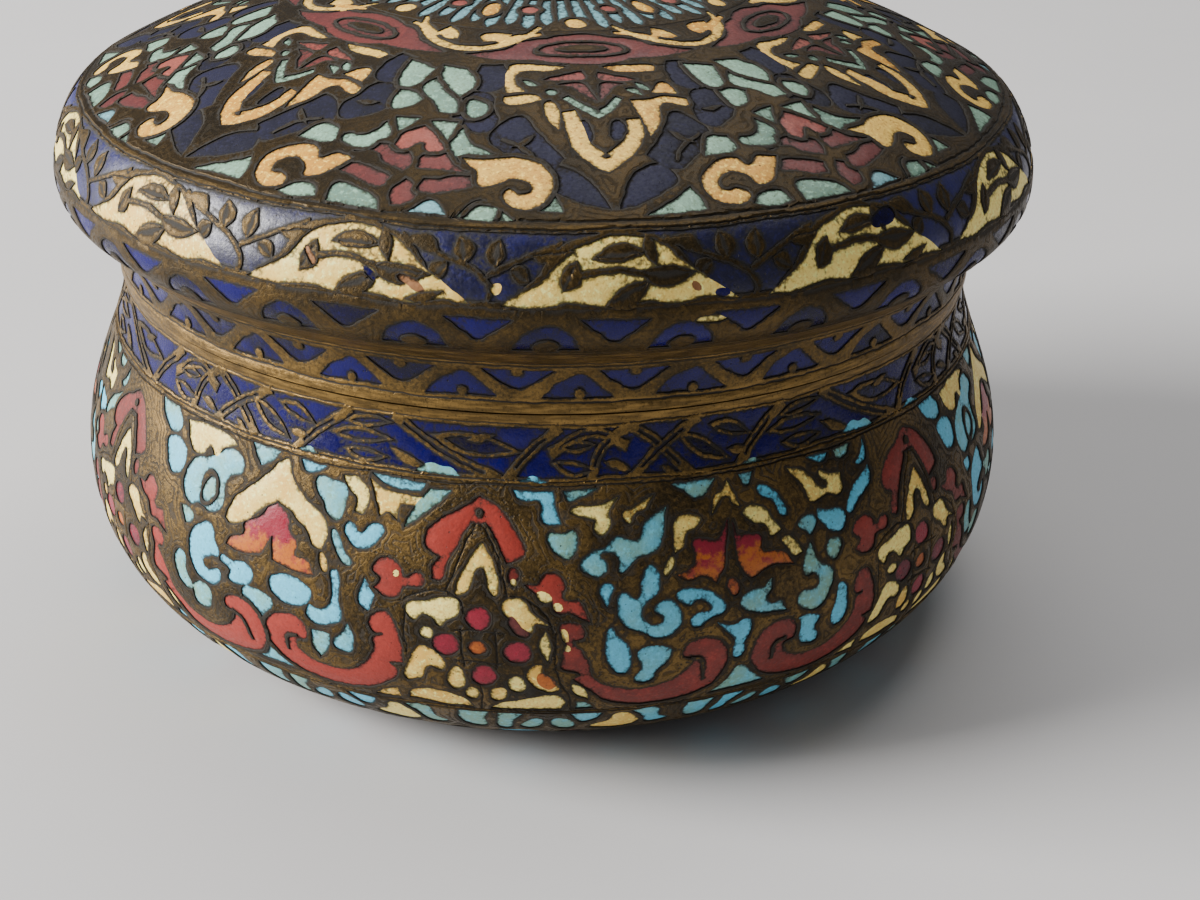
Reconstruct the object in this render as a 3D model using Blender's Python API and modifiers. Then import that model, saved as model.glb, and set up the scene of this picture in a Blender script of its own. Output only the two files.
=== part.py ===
"""Enamelled brass box: a turned, hollow body and the domed lid that rests on it.

Metres, +Z up. The origin is the middle of the circle that the box stands on.
"""

import math

import bpy
from mathutils import Vector

MM = 0.001

# Body, outside: the mouth and the foot are so much narrower than the belly
BODY_HEIGHT = 37.8 * MM
BELLY_HEIGHT = 17.0 * MM
BELLY_RADIUS = 50.0 * MM
MOUTH_INSET = 5.4 * MM
FOOT_INSET = 12.5 * MM
FOOT_LINE_HEIGHT = 8.1 * MM

# Body, inside and below
BODY_WALL = 1.8 * MM
FLOOR_THICKNESS = 1.8 * MM
FOOT_RING_WIDTH = 2.5 * MM
FOOT_RECESS = 0.8 * MM

# Ring inside the mouth, which the lid drops over
RING_WALL = 1.2 * MM
RING_RISE = 4.0 * MM
RING_DEPTH = 3.0 * MM
RING_CLEARANCE = 0.3 * MM

# Lid: heights are above its lower edge, the rim stands proud of the body's belly
# and the engraved edge lies within the rim
SEAT_GAP = 0.3 * MM
LIP_OVERHANG = 0.3 * MM
LIP_HEIGHT = 1.7 * MM
RIM_HEIGHT = 10.5 * MM
RIM_PROUD = 0.3 * MM
EDGE_HEIGHT = 17.9 * MM
EDGE_INSET = 3.3 * MM
LID_HEIGHT = 28.9 * MM
LID_WALL = 1.6 * MM

# Engraved lines round the lid's edge and above the foot
LINE_WIDTH = 0.3 * MM
LINE_DEPTH = 0.2 * MM
EDGE_LINE_SPACING = 0.55 * MM

# Sizes that the body and the lid share
MOUTH_RADIUS = BELLY_RADIUS - MOUTH_INSET
LIP_RADIUS = MOUTH_RADIUS + LIP_OVERHANG
LID_SEAT = BODY_HEIGHT + SEAT_GAP

# Pull of each curve's handles, as shares of the width and height that the curve spans
MOUTH_PULL = (0.0, 0.30)
BELLY_UPPER_PULL = (0.0, 0.43)
BELLY_LOWER_PULL = (0.0, 0.50)
FOOT_PULL = (0.58, 0.19)
CROWN_PULL = (0.34, 0.0)
EDGE_UPPER_PULL = (0.34, 0.78)
EDGE_LOWER_PULL = (0.58, 0.19)
RIM_UPPER_PULL = (0.0, 0.35)
RIM_LOWER_PULL = (0.0, 0.50)
LIP_PULL = (0.0, 0.65)

# Fineness of the turned shapes
SCREW_STEPS = 63
CURVE_STEPS = 5
CROWN_STEPS = 7
MERGE_DISTANCE = 0.01 * MM


def curve(start, start_pull, end_pull, end, steps):
    """A smooth curve between two points, each handle a share of the span from its own end."""
    first, last = Vector(start), Vector(end)
    span = last - first
    near = first + Vector((span.x * start_pull[0], span.y * start_pull[1]))
    far = last - Vector((span.x * end_pull[0], span.y * end_pull[1]))
    points = []
    for step in range(steps + 1):
        t = step / steps
        points.append(
            first * (1 - t) ** 3
            + near * 3 * t * (1 - t) ** 2
            + far * 3 * t ** 2 * (1 - t)
            + last * t ** 3
        )
    return points


def joined(*stretches):
    """One outline from stretches whose ends meet."""
    points = list(stretches[0])
    for stretch in stretches[1:]:
        points.extend(stretch[1:])
    return points


def at_height(outline, height):
    """The point where a falling outline passes a height."""
    for upper, lower in zip(outline, outline[1:]):
        if upper.y >= height >= lower.y and upper.y > lower.y:
            share = (upper.y - height) / (upper.y - lower.y)
            return upper.lerp(lower, share)
    raise ValueError("the outline does not reach that height")


def engraved(outline, height):
    """The outline with a V-shaped line cut into it at a height."""
    upper = at_height(outline, height + LINE_WIDTH / 2)
    lower = at_height(outline, height - LINE_WIDTH / 2)
    along = (lower - upper).normalized()
    inward = Vector((along.y, -along.x))
    bottom = (upper + lower) / 2 + inward * LINE_DEPTH
    above = [point for point in outline if point.y > upper.y]
    below = [point for point in outline if point.y < lower.y]
    return above + [upper, bottom, lower] + below


def inset(outline, wall):
    """The outline moved inwards by a wall; a point on the axis stays on it."""
    moved = []
    for index, point in enumerate(outline):
        mirrored = Vector((-outline[1].x, outline[1].y))
        before = outline[index - 1] if index else mirrored
        after = outline[index + 1] if index + 1 < len(outline) else point * 2 - before
        along = (after - before).normalized()
        moved.append(point + Vector((along.y, -along.x)) * wall)
    return moved


def turned(name, outline, collection, material):
    """A solid of revolution from an outline whose two ends lie on the axis."""
    mesh = bpy.data.meshes.new(name)
    corners = [(point.x, 0.0, point.y) for point in outline]
    edges = [(index, index + 1) for index in range(len(corners) - 1)]
    mesh.from_pydata(corners, edges, [])
    solid = bpy.data.objects.new(name, mesh)
    solid.data.materials.append(material)
    collection.objects.link(solid)
    screw = solid.modifiers.new("Turning", "SCREW")
    screw.axis = "Z"
    screw.angle = math.tau
    screw.steps = SCREW_STEPS
    screw.render_steps = SCREW_STEPS
    screw.use_merge_vertices = True
    screw.merge_threshold = MERGE_DISTANCE
    screw.use_smooth_shade = True
    return solid


def metal(name, colour, roughness):
    """A brass finish of one colour."""
    material = bpy.data.materials.new(name)
    material.use_nodes = True
    shader = material.node_tree.nodes["Principled BSDF"]
    shader.inputs["Base Color"].default_value = colour
    shader.inputs["Metallic"].default_value = 0.9
    shader.inputs["Roughness"].default_value = roughness
    return material


def lid_outline():
    """The lid's outer side, from the middle of its crown down to its lower edge."""
    rim_radius = BELLY_RADIUS + RIM_PROUD
    top = (0.0, LID_SEAT + LID_HEIGHT)
    edge = (rim_radius - EDGE_INSET, LID_SEAT + EDGE_HEIGHT)
    rim = (rim_radius, LID_SEAT + RIM_HEIGHT)
    lip_top = (LIP_RADIUS, LID_SEAT + LIP_HEIGHT)
    return joined(
        curve(top, CROWN_PULL, EDGE_UPPER_PULL, edge, CROWN_STEPS),
        curve(edge, EDGE_LOWER_PULL, RIM_UPPER_PULL, rim, CURVE_STEPS),
        curve(rim, RIM_LOWER_PULL, LIP_PULL, lip_top, CURVE_STEPS),
        [Vector(lip_top), Vector((LIP_RADIUS, LID_SEAT))],
    )


def body_outline():
    """The body's outer side, from its mouth down to its foot."""
    mouth = (MOUTH_RADIUS, BODY_HEIGHT)
    belly = (BELLY_RADIUS, BELLY_HEIGHT)
    foot = (BELLY_RADIUS - FOOT_INSET, 0.0)
    return joined(
        curve(mouth, MOUTH_PULL, BELLY_UPPER_PULL, belly, CURVE_STEPS),
        curve(belly, BELLY_LOWER_PULL, FOOT_PULL, foot, CURVE_STEPS),
    )


def make_lid(collection):
    """The lid: one hollow shell with a line pair engraved round its edge."""
    outer = lid_outline()
    inner = inset(outer, LID_WALL)
    edge_height = LID_SEAT + EDGE_HEIGHT
    for side in (0.5, -0.5):
        outer = engraved(outer, edge_height + side * EDGE_LINE_SPACING)
    material = metal("Lid brass", (0.20, 0.15, 0.07, 1.0), 0.45)
    return turned("lid", outer + inner[::-1], collection, material)


def make_body(collection):
    """The body: a hollow bowl, its mouth ring and its foot ring."""
    outer = body_outline()
    wall = inset(outer, BODY_WALL)
    floor = FOOT_RECESS + FLOOR_THICKNESS
    step = BODY_HEIGHT - RING_DEPTH
    inner = [at_height(wall, step)]
    inner += [point for point in wall if floor < point.y < step]
    inner += [at_height(wall, floor), Vector((0.0, floor))]
    ring_outer = LIP_RADIUS - LID_WALL - RING_CLEARANCE
    ring_inner = ring_outer - RING_WALL
    ring = [
        Vector((ring_inner, step)),
        Vector((ring_inner, BODY_HEIGHT + RING_RISE)),
        Vector((ring_outer, BODY_HEIGHT + RING_RISE)),
        Vector((ring_outer, BODY_HEIGHT)),
    ]
    foot_inner = BELLY_RADIUS - FOOT_INSET - FOOT_RING_WIDTH
    foot = [
        Vector((foot_inner, 0.0)),
        Vector((foot_inner, FOOT_RECESS)),
        Vector((0.0, FOOT_RECESS)),
    ]
    outline = inner[::-1] + ring + engraved(outer, FOOT_LINE_HEIGHT) + foot
    material = metal("Body brass", (0.28, 0.20, 0.08, 1.0), 0.40)
    return turned("body", outline, collection, material)


def main():
    for old in list(bpy.data.objects):
        bpy.data.objects.remove(old, do_unlink=True)
    collection = bpy.data.collections.new("Enamel box")
    bpy.context.scene.collection.children.link(collection)
    make_body(collection)
    make_lid(collection)


main()
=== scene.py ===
import math
import random

import bpy
import numpy as np
from bpy.props import FloatProperty, FloatVectorProperty, PointerProperty
from mathutils import Matrix, Vector, kdtree, noise
from mathutils.geometry import delaunay_2d_cdt


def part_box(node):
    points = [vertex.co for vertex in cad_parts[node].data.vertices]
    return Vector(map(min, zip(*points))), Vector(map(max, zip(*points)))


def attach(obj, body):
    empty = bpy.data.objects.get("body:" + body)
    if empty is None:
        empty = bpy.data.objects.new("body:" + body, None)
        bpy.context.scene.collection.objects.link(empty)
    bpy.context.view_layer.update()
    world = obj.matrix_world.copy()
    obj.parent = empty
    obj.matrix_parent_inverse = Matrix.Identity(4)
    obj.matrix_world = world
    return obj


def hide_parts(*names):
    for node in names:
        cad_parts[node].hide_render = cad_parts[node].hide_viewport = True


bl_info = {
    "name": "Enamelled Brass Box",
    "version": (1, 0, 0),
    "blender": (4, 5, 0),
    "location": "View3D > Sidebar > Enamel Box",
    "description": "Dresses a turned brass box with champleve enamel ornament",
    "category": "Add Mesh",
}

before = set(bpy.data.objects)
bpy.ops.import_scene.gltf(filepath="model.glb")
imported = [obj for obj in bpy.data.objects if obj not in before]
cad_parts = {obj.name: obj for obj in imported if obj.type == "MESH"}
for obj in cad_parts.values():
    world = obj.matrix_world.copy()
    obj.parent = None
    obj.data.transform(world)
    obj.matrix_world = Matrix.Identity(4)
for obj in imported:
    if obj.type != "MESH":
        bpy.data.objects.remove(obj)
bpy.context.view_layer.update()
LID_LOW, LID_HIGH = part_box("lid")
BODY_LOW, BODY_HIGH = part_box("body")

# Lengths below are in millimetres and angles in degrees unless a name says otherwise
MM = 0.001
REPEATS = 7
REPEAT_ANGLE = 360.0 / REPEATS

# Turned shape: overall sizes come from the frame, the insets are the turner's
RIM_RADIUS = LID_HIGH.x / MM
LID_SEAT = LID_LOW.z / MM
LID_TOP = LID_HIGH.z / MM
BELLY_RADIUS = RIM_RADIUS - 0.3
RING_TOP = BODY_HIGH.z / MM
RING_RISE = 4.0
BODY_HEIGHT = RING_TOP - RING_RISE
BELLY_HEIGHT = 17.0
MOUTH_RADIUS = BELLY_RADIUS - 5.4
FOOT_RADIUS = BELLY_RADIUS - 12.5
LIP_RADIUS = MOUTH_RADIUS + 0.3
LIP_HEIGHT = 1.7
RIM_HEIGHT = 10.5
EDGE_HEIGHT = 17.9
EDGE_RADIUS = RIM_RADIUS - 3.3
BODY_WALL = 1.8
LID_WALL = 1.6
FLOOR_TOP = 2.6
RING_WALL = 1.2
RING_DEPTH = 3.0
RING_CLEARANCE = 0.3
FOOT_RING_WIDTH = 2.5
FOOT_RECESS = 0.8

# Fineness of the meshes: steps round the box and along a curve, and spacings of points
RING_STEPS = 1260
RING_LINE_STEPS = 720
SHELL_STEPS = 210
CURVE_SAMPLES = 60
OUTLINE_STEP = 0.38
GRID_STEP = 0.85
BESIDE_LINE = 0.2
BESIDE_GAP = 0.17
CLEAR_OF_LINE = 0.11
CLEAR_OF_BORDER = 0.12
GRID_GAP = 0.3
CURVE_PULL = 0.36
TINY = 1e-6
MERGE_STEPS_PER_MM = 2000.0
SHARP_ANGLE = 38.0

# Drawn outlines follow the clean middle of a cell, so its cut edge lies this far outside them.
# A halo is the brass kept between a cell and what it covers.
CROWN_SWELL = 0.08
BAND_SWELL = 0.06
HALO = 0.42

# How an unsteady hand strays: size of the waves, reach across and along, and a shift of the waves
HAND_WAVES = (
    (6.5, 0.3, 0.25, (0.0, 0.0, 0.0)),
    (0.8, 0.12, 0.12, (7.0, 3.0, 1.0)),
)

# Relief of the brass and the enamel: sizes and heights of waves, and widths beside a cell's edge
WAVE_SIZE = 2.2
BRASS_WAVE = 0.02
ENAMEL_WAVE = 0.018
GRAIN_SIZE = 0.7
GRAIN_HEIGHT = 0.012
GRAIN_MARGIN = 0.3
ROUNDED_WIDTH = 0.17
PILLOW_WIDTH = 0.7
LEAST_DEPTH = 0.02
EDGE_WIDTH = 0.5
FAR_AWAY = 4.0
FULL_GROOVE = 0.1
STIPPLE_WIDTH = 1.0
STIPPLE_FADE = 0.3
MIDDLE_TONE = 0.5
PLAIN_ROW_MARGIN = 0.05
BORDER_MARGIN = 0.001

# Engraved lines, as width and depth
FINE_LINE = (0.3, 0.1)
ARCH_LINE = (0.3, 0.12)
BORDER_LINE = (0.34, 0.16)
VEIN_LINE = (0.2, 0.09)

# Brass leaves with a filled heart: where the heart starts and ends, and the brass left round it
HEART_START = 0.17
HEART_END = 0.13
HEART_RIM = 0.85
HEART_BEND = 0.85

# Zones of the two outlines, as lengths down the surface
CROWN_RADIUS = 46.9
NECK_TOP = 61.2
LATTICE_BOTTOM = 6.15
BAND_RADIUS_LID = 48.0
BAND_RADIUS_BODY = 47.0

# Directions of the seven-fold ornament
PANEL_ANGLE = 7.2
LUNETTE_ANGLE = 7.0
UNDERSIDE_ANGLE = 6.5
NECK_ANGLE = 3.5
PALMETTE_TURN = 24.9
LEFT_CURL_TURN = 1.9
RAYS_PER_PANEL = 10

# The hand-cut repeats: fields with a cream cloud on their left or separate petals on their
# right, and how far each pointed arch was set off its even place
CLOUD_FIELDS = (0, 2, 4)
PETAL_FIELDS = (0, 2, 4, 5)
OGEE_SHIFTS = (0.0, 2.6, 1.2, 0.0, -0.8, 0.4, 0.0)


# Outlines of the turned shape

def bezier(start, start_pull, end_pull, end):
    """Points of a smooth curve, each handle a share of the span from its own end."""
    (x0, y0), (x3, y3) = start, end
    x1, y1 = x0 + (x3 - x0) * start_pull[0], y0 + (y3 - y0) * start_pull[1]
    x2, y2 = x3 - (x3 - x0) * end_pull[0], y3 - (y3 - y0) * end_pull[1]
    points = []
    for step in range(CURVE_SAMPLES + 1):
        t = step / CURVE_SAMPLES
        u = 1.0 - t
        a, b, c, d = u ** 3, 3 * u * u * t, 3 * u * t * t, t ** 3
        points.append((a * x0 + b * x1 + c * x2 + d * x3, a * y0 + b * y1 + c * y2 + d * y3))
    return points


def joined(*stretches):
    """One outline from stretches whose ends meet."""
    points = list(stretches[0])
    for stretch in stretches[1:]:
        points.extend(stretch[1:])
    return points


def lid_outline():
    """The lid's outer side from the middle of its crown to its lower edge."""
    top, edge = (0.0, LID_TOP), (EDGE_RADIUS, LID_SEAT + EDGE_HEIGHT)
    rim, lip = (RIM_RADIUS, LID_SEAT + RIM_HEIGHT), (LIP_RADIUS, LID_SEAT + LIP_HEIGHT)
    return joined(
        bezier(top, (0.34, 0.0), (0.34, 0.78), edge),
        bezier(edge, (0.58, 0.19), (0.0, 0.35), rim),
        bezier(rim, (0.0, 0.50), (0.0, 0.65), lip),
        [lip, (LIP_RADIUS, LID_SEAT)],
    )


def body_outline():
    """The body's outer side from its mouth to its foot."""
    mouth, foot = (MOUTH_RADIUS, BODY_HEIGHT), (FOOT_RADIUS, 0.0)
    belly = (BELLY_RADIUS, BELLY_HEIGHT)
    return joined(
        bezier(mouth, (0.0, 0.30), (0.0, 0.43), belly),
        bezier(belly, (0.0, 0.50), (0.58, 0.19), foot),
    )


class Profile:
    """An outline read by the length along it: radius, height and outward direction."""

    def __init__(self, points):
        self.points = np.array(points)
        steps = np.hypot(*np.diff(self.points, axis=0).T)
        self.length = np.concatenate([[0.0], np.cumsum(steps)])
        slope = np.gradient(self.points, self.length, axis=0)
        slope /= np.hypot(slope[:, 0], slope[:, 1])[:, None]
        self.outward = np.stack([-slope[:, 1], slope[:, 0]], axis=1)
        self.end = float(self.length[-1])

    def at(self, length, height):
        """Radius and height above the ground of points raised above the surface."""
        radius = np.interp(length, self.length, self.points[:, 0])
        level = np.interp(length, self.length, self.points[:, 1])
        out = np.interp(length, self.length, self.outward[:, 0])
        up = np.interp(length, self.length, self.outward[:, 1])
        return radius + out * height, level + up * height

    def length_at_radius(self, radius):
        """The length along the outline where it first reaches a radius."""
        rising = int(np.argmax(self.points[:, 0])) + 1
        return np.interp(radius, self.points[:rising, 0], self.length[:rising])


LID = Profile(lid_outline())
BODY = Profile(body_outline())


# Drawing of cells: every outline is a short list of points that a smooth line passes through.
# A third value of 1 in a point makes a sharp corner there.

def smooth(points, closed=True):
    """A fine line through a few points, rounded at all but the sharp ones."""
    count = len(points)
    spans = count if closed else count - 1
    line = []
    for index in range(spans):
        here, there = points[index], points[(index + 1) % count]
        before = points[index - 1] if closed or index else here
        after = points[(index + 2) % count] if closed or index + 2 < count else there
        span = math.hypot(there[0] - here[0], there[1] - here[1])
        if span < TINY:
            continue
        sharp_here, sharp_there = len(here) > 2, len(there) > 2
        start = direction(here, there) if sharp_here else direction(before, there)
        end = direction(here, there) if sharp_there else direction(here, after)
        pull = span * CURVE_PULL
        x1, y1 = here[0] + start[0] * pull, here[1] + start[1] * pull
        x2, y2 = there[0] - end[0] * pull, there[1] - end[1] * pull
        steps = max(1, math.ceil(span / OUTLINE_STEP))
        for step in range(steps):
            t = step / steps
            u = 1.0 - t
            a, b, c, d = u ** 3, 3 * u * u * t, 3 * u * t * t, t ** 3
            line.append((
                a * here[0] + b * x1 + c * x2 + d * there[0],
                a * here[1] + b * y1 + c * y2 + d * there[1],
            ))
    if not closed:
        line.append(points[-1][:2])
    return line


def direction(start, end):
    """Unit direction from one point to another."""
    x, y = end[0] - start[0], end[1] - start[1]
    size = math.hypot(x, y) or 1.0
    return x / size, y / size


class Cell:
    """One closed outline and what fills it; a fade runs its tone from one point to another."""

    def __init__(self, filling, outline, fade=None):
        self.filling = filling
        self.outline = outline
        self.fade = fade


def blob(filling, *points, fade=None):
    """A cell whose outline passes smoothly through the points."""
    return Cell(filling, smooth(points), fade)


def blobs(filling, *outlines):
    """Cells of one filling."""
    return [blob(filling, *points) for points in outlines]


def spot(filling, x, y, half_width, half_height=None, turn=0.0):
    """An oval cell."""
    half_height = half_height or half_width
    count = max(8, math.ceil(math.tau * max(half_width, half_height) / OUTLINE_STEP))
    cos, sin = math.cos(math.radians(turn)), math.sin(math.radians(turn))
    outline = []
    for step in range(count):
        angle = math.tau * step / count
        u, v = half_width * math.cos(angle), half_height * math.sin(angle)
        outline.append((x + u * cos - v * sin, y + u * sin + v * cos))
    return Cell(filling, outline)


def leaf(filling, tail, tip, width, bend=0.0):
    """A leaf with two pointed ends; a positive bend bows it to the left of its way."""
    (x0, y0), (x1, y1) = tail, tip
    dx, dy = x1 - x0, y1 - y0
    length = math.hypot(dx, dy)
    nx, ny = -dy / length, dx / length
    left, right = bend + width * 0.5, bend - width * 0.5

    def side(share, offset):
        return x0 + dx * share + nx * offset, y0 + dy * share + ny * offset

    points = [
        (x0, y0, 1), side(0.3, left * 0.85), side(0.6, left * 0.9),
        (x1, y1, 1), side(0.6, right * 0.9), side(0.3, right * 0.85),
    ]
    return Cell(filling, smooth(points))


def ribbon(filling, widths, *points):
    """A stroke along a line; its widths are spread evenly from start to end."""
    line = smooth(points, closed=False)
    left, right = [], []
    last = len(line) - 1
    for index, (x, y) in enumerate(line):
        before, after = line[max(index - 1, 0)], line[min(index + 1, last)]
        ux, uy = direction(before, after)
        place = index / last * (len(widths) - 1)
        low = min(int(place), len(widths) - 2)
        half = (widths[low] + (widths[low + 1] - widths[low]) * (place - low)) * 0.5
        left.append((x - uy * half, y + ux * half))
        right.append((x + uy * half, y - ux * half))
    return Cell(filling, left + right[::-1])


def mirrored(cells):
    """The cells and their mirror images about the upright axis."""
    images = []
    for cell in cells:
        outline = [(-x, y) for x, y in reversed(cell.outline)]
        images.append(Cell(cell.filling, outline, cell.fade))
    return cells + images


# The two kinds of ornamented surface

class Zone:
    """A stretch of a turned surface laid flat, with its cells and engraved lines."""

    swell = BAND_SWELL
    plain = ()

    def __init__(self, name, profile, seed):
        self.name = name
        self.profile = profile
        self.cells = []
        self.lines = []
        self.random = random.Random(seed)
        noise.seed_set(seed)

    def add(self, cells, angle=0.0, halo=0.0):
        """Places a motif, turned by an angle; a halo keeps brass between it and what it covers."""
        for cell in cells:
            outline = [self.place(x, y, angle) for x, y in cell.outline]
            if signed_area(outline) < 0.0:
                outline.reverse()
            outline = [self.wander(x, y) for x, y in outline]
            tone = self.random.random()
            fade = None
            if cell.fade:
                fade = [self.place(*end, angle) for end in cell.fade]
            if cell.filling != "brass":
                outline = outset(outline, self.swell)
            for shift in self.shifts(outline):
                moved = [(x + shift, y) for x, y in outline]
                ends = [(x + shift, y) for x, y in fade] if fade else None
                if halo and cell.filling != "brass":
                    self.cells.append(("brass", outset(moved, halo), tone, None))
                self.cells.append((cell.filling, moved, tone, ends))

    def engrave(self, width, depth, *points, angle=0.0, closed=False):
        """Cuts a V-shaped line into the brass along a few points."""
        line = [self.place(x, y, angle) for x, y in smooth(points, closed)]
        line = [self.wander(x, y) for x, y in line]
        for shift in self.shifts(line):
            self.lines.append((width, depth, [(x + shift, y) for x, y in line], closed))

    def wander(self, x, y):
        """Moves a point as an unsteady hand would."""
        place = Vector(self.lift(np.array([x]), np.array([y]), 0.0)[0])
        for size, across, along, shift in HAND_WAVES:
            wave = noise.noise_vector(place / size + Vector(shift))
            x += wave.x * across
            y += wave.y * along
        return x, y

    def shifts(self, outline):
        """Where copies of an outline go: one place, unless the zone has a seam."""
        return (0.0,)


class Disc(Zone):
    """The crown, seen from above."""

    swell = CROWN_SWELL

    def __init__(self, name, profile, radius, seed):
        super().__init__(name, profile, seed)
        self.radius = radius

    def place(self, x, y, angle):
        """Across and outward from the axis, turned round it."""
        cos, sin = math.cos(math.radians(angle)), math.sin(math.radians(angle))
        return x * cos + y * sin, x * sin - y * cos

    def lift(self, x, y, height):
        """Points in space for points of the flat drawing."""
        radius = np.hypot(x, y)
        length = self.profile.length_at_radius(radius)
        out, up = self.profile.at(length, height)
        scale = out / np.maximum(radius, 1e-9)
        return np.stack([x * scale, y * scale, up], axis=1)

    def border(self):
        """Border loops of the flat drawing, as points and the edges between them."""
        angles = [math.tau * step / RING_STEPS for step in range(RING_STEPS)]
        points = [(self.radius * math.sin(a), -self.radius * math.cos(a)) for a in angles]
        edges = [(step, (step + 1) % RING_STEPS) for step in range(RING_STEPS)]
        return points, edges

    def inside(self, x, y, margin=0.0):
        return math.hypot(x, y) < self.radius - margin

    def extent(self):
        return -self.radius, -self.radius, self.radius, self.radius


class Band(Zone):
    """A belt of the side: degrees round from the front, and length down the surface."""

    def __init__(self, name, profile, top, bottom, radius, seed):
        super().__init__(name, profile, seed)
        self.top = top
        self.bottom = bottom
        self.per_degree = math.radians(radius)
        self.half = 180.0 * self.per_degree
        self.turning = 0.0

    def place(self, x, y, angle):
        """Degrees from the front and length down, turned round the axis."""
        return (x + angle - self.turning) * self.per_degree, -y

    def turn_to(self, points, angle):
        """Chooses the turn of the belt that the middle of some points falls in."""
        middle = sum(point[0] for point in points) / len(points) + angle
        self.turning = 360.0 * math.floor((middle + 180.0) / 360.0)

    def add(self, cells, angle=0.0, halo=0.0):
        """Places each cell whole, on the turn of the belt that its middle falls in."""
        for cell in cells:
            self.turn_to(cell.outline, angle)
            super().add([cell], angle, halo)

    def engrave(self, width, depth, *points, angle=0.0, closed=False):
        """Cuts a line on the turn of the belt that its middle falls in."""
        self.turn_to(points, angle)
        super().engrave(width, depth, *points, angle=angle, closed=closed)

    def ring(self, length):
        """A line right round the belt, as steady as the hand."""
        line = []
        for step in range(RING_LINE_STEPS + 1):
            x = -self.half + 2.0 * self.half * step / RING_LINE_STEPS
            line.append((x, self.wander(x, -length)[1]))
        line[-1] = (line[-1][0], line[0][1])
        return line

    def ring_line(self, width, depth, length):
        """Engraves a line right round the belt."""
        self.lines.append((width, depth, self.ring(length), False))

    def ring_band(self, filling, top, bottom):
        """Fills the belt between two lengths all the way round."""
        self.cells.append((filling, self.ring(bottom) + self.ring(top)[::-1], MIDDLE_TONE, None))

    def shifts(self, outline):
        """Copies on both ends of the belt for what crosses its back."""
        low, high = min(x for x, _ in outline), max(x for x, _ in outline)
        found = [0.0]
        if high > self.half:
            found.append(-2.0 * self.half)
        if low < -self.half:
            found.append(2.0 * self.half)
        return found

    def lift(self, x, y, height):
        """Points in space for points of the flat drawing."""
        angle = np.radians(x / self.per_degree)
        out, up = self.profile.at(-y, height)
        return np.stack([out * np.sin(angle), -out * np.cos(angle), up], axis=1)

    def border(self):
        """Border of the flat drawing; its two ends meet at the back."""
        points, edges = [], []
        for y in (-self.top, -self.bottom):
            first = len(points)
            for step in range(RING_STEPS + 1):
                points.append((-self.half + 2.0 * self.half * step / RING_STEPS, y))
            edges += [(first + step, first + step + 1) for step in range(RING_STEPS)]
        rows = math.ceil((self.bottom - self.top) / GRID_STEP)
        for x in (-self.half, self.half):
            first = len(points)
            for row in range(rows + 1):
                points.append((x, -self.top + (self.top - self.bottom) * row / rows))
            edges += [(first + row, first + row + 1) for row in range(rows)]
        return points, edges

    def inside(self, x, y, margin=0.0):
        across = abs(x) < self.half - margin
        return across and -self.bottom + margin < y < -self.top - margin

    def extent(self):
        return -self.half, -self.bottom, self.half, -self.top


# From the flat drawing to meshes

def near_tree(points):
    """A search tree of flat points."""
    tree = kdtree.KDTree(len(points))
    for index, (x, y) in enumerate(points):
        tree.insert((x, y, 0.0), index)
    tree.balance()
    return tree


def drawing(zone):
    """All points, edges and outlines of a zone, ready for triangulation."""
    points, edges = zone.border()
    marks = list(points)
    faces = []
    beside = []
    for _, outline, _, _ in zone.cells:
        first = len(points)
        points.extend(outline)
        faces.append(list(range(first, len(points))))
        marks.extend(outline)
        beside.extend(offset_points(outline, BESIDE_LINE, closed=True))
    groove_marks = []
    for width, depth, line, closed in zone.lines:
        first = len(points)
        points.extend(line)
        edges += [(index, index + 1) for index in range(first, len(points) - 1)]
        if closed:
            edges.append((len(points) - 1, first))
        marks.extend(line)
        groove_marks.extend((x, y, width, depth) for x, y in line)
        beside.extend(offset_points(line, width * 0.5, closed))
    tree = near_tree(marks)
    taken = {}
    for x, y in beside:
        if not zone.inside(x, y, CLEAR_OF_BORDER) or tree.find((x, y, 0.0))[2] < CLEAR_OF_LINE:
            continue
        if free_spot(taken, x, y, BESIDE_GAP):
            points.append((x, y))
    for x, y in grid_points(zone):
        if tree.find((x, y, 0.0))[2] >= GRID_GAP and free_spot(taken, x, y, GRID_GAP):
            points.append((x, y))
    return points, edges, faces, groove_marks


def outset(outline, distance):
    """An outline that runs anticlockwise, moved outwards."""
    ring = np.array(outline)
    along = np.roll(ring, -1, axis=0) - np.roll(ring, 1, axis=0)
    along /= np.maximum(np.hypot(along[:, 0], along[:, 1]), 1e-9)[:, None]
    moved = ring + np.stack([along[:, 1], -along[:, 0]], axis=1) * distance
    return [tuple(point) for point in moved.tolist()]


def signed_area(outline):
    """Area inside an outline, negative if it runs clockwise."""
    ring = np.array(outline)
    after = np.roll(ring, -1, axis=0)
    return 0.5 * float(np.sum(ring[:, 0] * after[:, 1] - after[:, 0] * ring[:, 1]))


def offset_points(line, distance, closed):
    """Points on both sides of a line."""
    found = []
    last = len(line) - 1
    for index, (x, y) in enumerate(line):
        before = line[index - 1] if closed or index else line[0]
        after = line[(index + 1) % len(line)] if closed or index < last else line[last]
        ux, uy = direction(before, after)
        for side in (-distance, distance):
            found.append((x - uy * side, y + ux * side))
    return found


def free_spot(taken, x, y, gap):
    """Whether no earlier point is within a gap; the point is then noted."""
    column, row = math.floor(x / gap), math.floor(y / gap)
    for i in (column - 1, column, column + 1):
        for j in (row - 1, row, row + 1):
            for other_x, other_y in taken.get((gap, i, j), ()):
                if math.hypot(x - other_x, y - other_y) < gap:
                    return False
    taken.setdefault((gap, column, row), []).append((x, y))
    return True


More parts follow.
